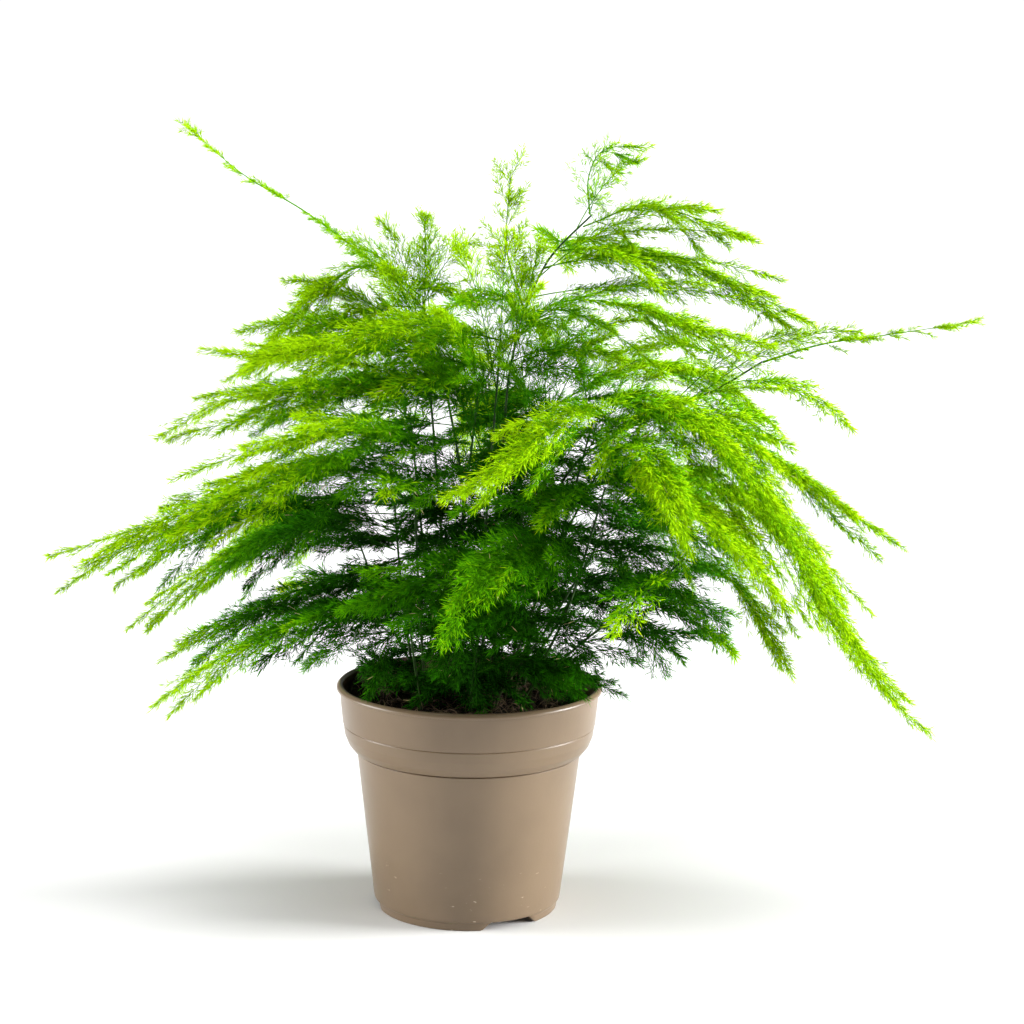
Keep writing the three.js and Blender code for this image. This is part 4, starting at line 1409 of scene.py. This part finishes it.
@dataclass
class Frond:
    """One frond: a plume on its midrib, and fingers that leave the midrib and flow beside and below it."""

    spine: Spine
    habit: Habit
    seed: int
    around: Surroundings
    fingers_per_metre: float = 70.0
    finger_width: float = 11 * MM
    spread: float = 1.25
    drop: float = 44 * MM
    last: float = 0.93
    # Painted light between the layers: fingers on top are painted brighter, fingers hanging below darker.
    painted_layer_light: float = 0.60

    def finger(self, rng: np.random.Generator, number: int) -> tuple[Spine, float]:
        """Make a finger's middle line, and tell how far it lies towards the top layer, from 0.5 to -1.

        It leaves the midrib at one share and follows it to a later one, moving sideways by w u^0.8 and down
        by d u^1.4 on the way.
        """
        start = rng.uniform(0.0, 0.55)
        end = min(start + rng.uniform(0.26, 0.55), self.last)
        u = np.linspace(0, 1, 50)
        point, tangent, side, over = self.spine.at(mix(start, end, u))
        hand = 1.0 if number % 2 else -1.0
        width = self.spine.half_width * self.spread * (1.15 - end) * rng.uniform(0.3, 1.0) * hand
        layer = rng.uniform(-0.45, 1.0)
        drop = self.drop * layer * (1.2 - end) * min(1.0, self.spine.half_width / (16 * MM))
        path = point + (width * u**0.8)[:, None] * side - np.outer(drop * u**1.4, [0.0, 0.0, 1.0])
        roll = rng.normal(0.0, 0.35)
        half = self.finger_width * rng.uniform(0.7, 1.15) * min(1.0, 0.35 + self.spine.half_width / (24 * MM))
        return line_spine(path, over + roll * side, half), -layer

    def build(self, name: str, material: bpy.types.Material) -> bpy.types.Object:
        """Grow the frond.

        Args:
            name: the piece's name.
            material: the foliage's finish.

        Returns:
            The finished piece.
        """
        rng = np.random.default_rng(1000 + self.seed)
        foliage = Foliage(self.around, rng)
        foliage.spray(self.spine, self.habit)
        if self.habit is Habit.PLUME:
            for number in range(max(3, round(self.spine.length * self.fingers_per_metre))):
                line, layer = self.finger(rng, number)
                # Painted light: fingers in the top layer are painted brighter, those hanging below darker.
                foliage.spray(line, Habit.FINGER, 0.10, self.painted_layer_light * (layer + 0.25))
        return foliage.build(name, material)


@dataclass(frozen=True)
class CrownShoot:
    """A bright young shoot of a stem: where it leaves, its tip in mm from the pot's axis, and its arch."""

    share: float
    tip: Triple
    half_width: float = 12 * MM
    arch: float = 0.7


CROWN = {
    "stem_01": (
        CrownShoot(0.70, (-66, 34, 276)), CrownShoot(0.84, (-24, 40, 296)),
        CrownShoot(0.80, (-92, 34, 262)), CrownShoot(0.90, (-60, 30, 300)),
        CrownShoot(0.76, (-84, 20, 282)),
    ),
    "stem_02": (
        CrownShoot(0.80, (-41, 12, 308)), CrownShoot(0.93, (-22, 2, 313)),
        CrownShoot(0.72, (-38, -22, 292)), CrownShoot(0.97, (-2, 20, 300)),
        CrownShoot(0.85, (-102, -8, 262), 16 * MM),
    ),
    "stem_03": (
        CrownShoot(0.86, (-8, -24, 302)), CrownShoot(0.96, (14, -6, 304)),
        CrownShoot(0.76, (-16, -50, 276)), CrownShoot(0.80, (28, -30, 284)),
        CrownShoot(0.66, (-30, -30, 262)), CrownShoot(0.90, (-80, -40, 252), 16 * MM),
    ),
    "stem_04": (
        CrownShoot(0.85, (-20, -12, 262)), CrownShoot(0.93, (17, -22, 262)),
        CrownShoot(0.9, (-6, -44, 246)), CrownShoot(0.95, (-118, -24, 234), 16 * MM),
        CrownShoot(0.7, (-84, -50, 206), 15 * MM),
    ),
    "stem_05": (
        CrownShoot(0.97, (-134, -24, 186), 16 * MM), CrownShoot(0.8, (-104, -60, 172), 14 * MM),
    ),
    "stem_06": (
        CrownShoot(0.95, (-112, -20, 156), 15 * MM), CrownShoot(0.9, (-140, 30, 176), 15 * MM),
    ),
    "stem_07": (
        CrownShoot(0.95, (-118, -30, 132), 13 * MM), CrownShoot(0.8, (-66, -76, 128), 13 * MM),
    ),
    "stem_08": (
        CrownShoot(0.97, (-50, -95, 157), 22 * MM, 0.25),
        CrownShoot(0.93, (-30, -98, 151), 20 * MM, 0.25),
        CrownShoot(0.90, (-9, -97, 143), 16 * MM, 0.25), CrownShoot(0.86, (74, -60, 132), 13 * MM),
    ),
    "stem_09": (
        CrownShoot(0.95, (112, -45, 172), 15 * MM), CrownShoot(0.85, (30, -84, 190), 14 * MM),
    ),
    "stem_10": (
        CrownShoot(0.86, (14, -30, 250)), CrownShoot(0.93, (58, -16, 262)),
        CrownShoot(0.9, (30, 14, 262)), CrownShoot(0.8, (-22, -70, 196), 15 * MM),
    ),
    "stem_11": (
        CrownShoot(0.86, (84, 4, 244)), CrownShoot(0.95, (46, 4, 252)),
        CrownShoot(0.9, (120, -4, 226), 15 * MM),
    ),
    "stem_12": (
        CrownShoot(0.95, (125, -55, 150), 15 * MM), CrownShoot(0.8, (96, -60, 150), 13 * MM),
    ),
    "stem_13": (
        CrownShoot(0.84, (172, 20, 263), 11 * MM), CrownShoot(0.78, (146, 16, 262), 12 * MM),
        CrownShoot(0.7, (138, 20, 236), 9 * MM),
    ),
    "stem_14": (
        CrownShoot(0.70, (22, 6, 288)), CrownShoot(0.78, (30, -4, 300)),
        CrownShoot(0.84, (100, 10, 318)), CrownShoot(0.95, (72, 8, 338), 9 * MM),
        CrownShoot(0.62, (74, 6, 268)), CrownShoot(0.90, (121, 12, 304), 9 * MM),
        CrownShoot(0.86, (136, 14, 286), 9 * MM), CrownShoot(0.80, (149, 12, 268), 9 * MM),
        CrownShoot(0.74, (104, 8, 284), 9 * MM),
    ),
    "stem_15": (
        CrownShoot(0.90, (113, -50, 132), 12 * MM), CrownShoot(0.7, (84, -60, 124), 11 * MM),
    ),
    "stem_16": (
        CrownShoot(0.88, (16, 40, 272)), CrownShoot(0.94, (44, 34, 266)),
        CrownShoot(0.97, (-6, 60, 258)),
    ),
    "stem_17": (
        CrownShoot(0.86, (-48, 40, 262)), CrownShoot(0.95, (-14, 38, 264)),
        CrownShoot(0.9, (-4, 66, 244)), CrownShoot(0.97, (-136, 10, 211), 16 * MM),
    ),
    "stem_18": (
        CrownShoot(0.95, (112, 40, 150), 14 * MM), CrownShoot(0.8, (96, 20, 132), 12 * MM),
    ),
    "stem_19": (
        CrownShoot(0.95, (-118, 40, 150), 14 * MM),
    ),
}


@dataclass
class SideShoots:
    """The short shaded shoots that a stem carries all the way up, in mm, and its young ones near the top."""

    spine: Spine
    seed: int
    around: Surroundings
    crown: tuple[CrownShoot, ...] = ()
    shoots_per_metre: float = 70.0
    lowest: float = 0.08
    highest: float = 0.97
    lengths: tuple[float, float] = (42, 80)
    half_widths: tuple[float, float] = (12, 18)

    def shoot(self, share: float, turn: float, rng: np.random.Generator) -> Spine:
        """Make a shoot's middle line: out and up from the stem, then over: start + L (u way + u² bend)."""
        point, tangent, _, _ = self.spine.at(np.array([share]))
        out = np.array([math.cos(turn), math.sin(turn), 0.0])
        away = point[0, :2] - self.around.axis
        out[:2] += rng.uniform(-0.5, 0.9) * away / max(float(np.linalg.norm(away)), 12 * MM)
        out = unit(out)
        length = MM * rng.uniform(*self.lengths) * (0.50 + 0.62 * share)
        way = unit(out + rng.uniform(0.15, 0.6) * tangent[0])
        bend = 0.10 * out - np.array([0.0, 0.0, rng.uniform(0.2, 0.55)])
        u = np.linspace(0, 1, 40)[:, None]
        path = point + length * (u * way + u**2 * bend)
        up = np.array([0.0, 0.0, 1.0]) + rng.normal(0, 0.3, 3)
        return line_spine(path, up, MM * rng.uniform(*self.half_widths))

    def young(self, shoot: CrownShoot, rng: np.random.Generator) -> Spine:
        """Make a young shoot's middle line: straight to its tip plus an arch of a L u (1 - u)."""
        point, _, _, _ = self.spine.at(np.array([shoot.share]))
        tip = np.array([*self.around.axis, 0.0]) + np.array(shoot.tip) * MM
        ahead = tip - point[0]
        length = float(np.linalg.norm(ahead))
        u = np.linspace(0, 1, 40)[:, None]
        rise = shoot.arch * length * u * (1 - u) * unit(np.array([0.35 * ahead[0], 0.35 * ahead[1], 1.0]))
        path = point + u * ahead + rise * (0.4 + 0.6 * abs(ahead[2]) / length)
        up = np.array([0.0, -0.5, 1.0]) + rng.normal(0, 0.2, 3)
        return line_spine(path, up, shoot.half_width)

    def build(self, name: str, material: bpy.types.Material) -> bpy.types.Object:
        """Grow the shoots.

        Args:
            name: the piece's name.
            material: the foliage's finish.

        Returns:
            The finished piece.
        """
        rng = np.random.default_rng(5000 + self.seed)
        foliage = Foliage(self.around, rng)
        count = max(3, round(self.spine.length * self.shoots_per_metre))
        turn = rng.uniform(0, 2 * np.pi)
        for k in range(count):
            share = self.lowest + (self.highest - self.lowest) * (k + rng.uniform(0.1, 0.9)) / count
            foliage.spray(self.shoot(share, turn, rng), Habit.SHADED, 0.12)
            turn += GOLDEN_TURN + rng.normal(0, 0.3)
        for young in self.crown:
            foliage.spray(self.young(young, rng), Habit.CROWN, 0.10)
        return foliage.build(name, material)


# ---- the plant ----------------------------------------------------------------------------------


@dataclass
class Plant:
    """All the stems and fronds, each on its own solid of the frame."""

    nodes: dict[str, bpy.types.Object]
    around: Surroundings
    runner_width: float = 12 * MM
    runner_length: float = 60 * MM

    def build(self) -> None:
        """Grow a stem or a frond for each of the frame's, and dress the buried rootstock."""
        skin = StemSkin().material()
        green = NeedleGreen().material()
        names = sorted(self.nodes)
        for seed, name in enumerate(n for n in names if n.startswith("stem_")):
            spine, radii = stem_spine(self.nodes[name])
            attach(Stem(spine, radii, seed).build(name + "_wiry", skin), "stem", name)
            shoots = SideShoots(spine, seed, self.around, CROWN.get(name, ()))
            attach(shoots.build(name + "_side_shoots", green), "frond")
        for seed, name in enumerate(n for n in names if n.startswith("frond_")):
            spine = frond_spine(self.nodes[name])
            slim = spine.half_width < self.runner_width and spine.length > self.runner_length
            frond = Frond(spine, Habit.RUNNER if slim else Habit.PLUME, seed, self.around)
            attach(frond.build(name + "_feathery", green), "frond", name)
        self.nodes["root_crown"].data.materials.clear()
        self.nodes["root_crown"].data.materials.append(RootBark().material())


def attach(piece: bpy.types.Object, slot: str, *nodes: str) -> None:
    """Ride a piece on the pot's body and hide the solids it stands for."""
    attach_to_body(piece, BODY)
    if nodes:
        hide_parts(*nodes)


# ---- studio -------------------------------------------------------------------------------------


LAMPS = (
    ("left_lamp", (1.0, 0.04, -0.22), 3.9, 30.0),
    ("right_lamp", (-1.0, 0.0, -0.22), 7.6, 30.0),
    ("top_lamp", (-0.05, 0.22, -1.0), 2.3, 40.0),
)


@dataclass
class Studio:
    """A white floor, soft lamps on both sides and above, and the camera."""

    axis: np.ndarray
    distance: float = 1102 * MM
    eye_height: float = 368 * MM
    aside: float = 18 * MM
    tilt: float = 9.59
    roll: float = 0.87
    lens: float = 87.9
    fill: float = 0.22
    backdrop: float = 1.05
    floor_half: float = 60.0

    def lamp(self, name: str, way: Triple, strength: float, softness: float) -> None:
        """Hang a broad far lamp.

        Args:
            name: the lamp's name.
            way: where its light goes.
            strength: its strength.
            softness: the angle in degrees over which it spreads its shadows.
        """
        data = bpy.data.lights.new(name, "SUN")
        data.energy = strength
        data.angle = math.radians(softness)
        lamp = bpy.data.objects.new(name, data)
        lamp.location = -Vector(way) * 2
        lamp.rotation_euler = Vector(way).to_track_quat("-Z", "Y").to_euler()
        bpy.context.scene.collection.objects.link(lamp)

    def camera(self) -> None:
        """Set the camera level with the foliage, looking a little down."""
        data = bpy.data.cameras.new("camera")
        data.lens = self.lens
        data.sensor_width = 36.0
        data.clip_start, data.clip_end = 0.05, 20.0
        tilt, roll = math.radians(self.tilt), math.radians(self.roll)
        ahead = Vector((0, math.cos(tilt), -math.sin(tilt)))
        right = Vector((1, 0, 0))
        up = right.cross(ahead)
        right, up = math.cos(roll) * right + math.sin(roll) * up, math.cos(roll) * up - math.sin(roll) * right
        place = Vector((self.axis[0] + self.aside, self.axis[1] - self.distance, self.eye_height))
        camera = bpy.data.objects.new("camera", data)
        camera.matrix_world = Matrix.Translation(place) @ Matrix((right, up, -ahead)).transposed().to_4x4()
        bpy.context.scene.collection.objects.link(camera)
        bpy.context.scene.camera = camera

    def floor(self) -> None:
        """Lay the floor: one large sheet of white paper."""
        work = Meshwork()
        half = self.floor_half
        corners = np.array([(-half, -half, 0), (half, -half, 0), (half, half, 0), (-half, half, 0)], float)
        work.add(corners, np.array([(0, 1, 2, 3)]))
        work.build("floor", [StudioPaper().material()])

    def build(self) -> None:
        """Set up the studio."""
        world = bpy.data.worlds.new("studio_air")
        world.use_nodes = True
        tree = world.node_tree
        tree.nodes.clear()
        seen = tree.nodes.new("ShaderNodeLightPath")
        level = tree.nodes.new("ShaderNodeMapRange")
        level.inputs["To Min"].default_value = self.fill
        level.inputs["To Max"].default_value = self.backdrop
        air = tree.nodes.new("ShaderNodeBackground")
        output = tree.nodes.new("ShaderNodeOutputWorld")
        tree.links.new(seen.outputs["Is Camera Ray"], level.inputs["Value"])
        tree.links.new(level.outputs["Result"], air.inputs["Strength"])
        tree.links.new(air.outputs[0], output.inputs["Surface"])
        air.inputs["Color"].default_value = (1.0, 1.0, 1.0, 1.0)
        bpy.context.scene.world = world
        bpy.context.scene.view_settings.view_transform = "Standard"
        self.floor()
        for name, way, strength, softness in LAMPS:
            self.lamp(name, way, strength, softness)
        self.camera()


def main() -> None:
    """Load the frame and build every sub-assembly around it."""
    logging.basicConfig(level=logging.INFO, format="%(name)s: %(message)s")
    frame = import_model()
    low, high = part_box("pot")
    axis = np.array([(low.x + high.x) / 2, (low.y + high.y) / 2])
    pot = NurseryPot(axis, lip_radius=(high.x - low.x) / 2, height=high.z)
    attach(pot.build(), "pot", "pot")
    soil = SoilBed(axis, level=high.z - SOIL_BELOW_LIP, rim=SOIL_RIM)
    attach(soil.build(), "soil", "soil")
    around = Surroundings(axis, HEART_HEIGHT, PLANT_REACH, pot.lip_radius, pot.height, soil)
    Plant(frame["nodes"], around).build()
    Studio(axis).build()


if __name__ == "__main__":
    main()
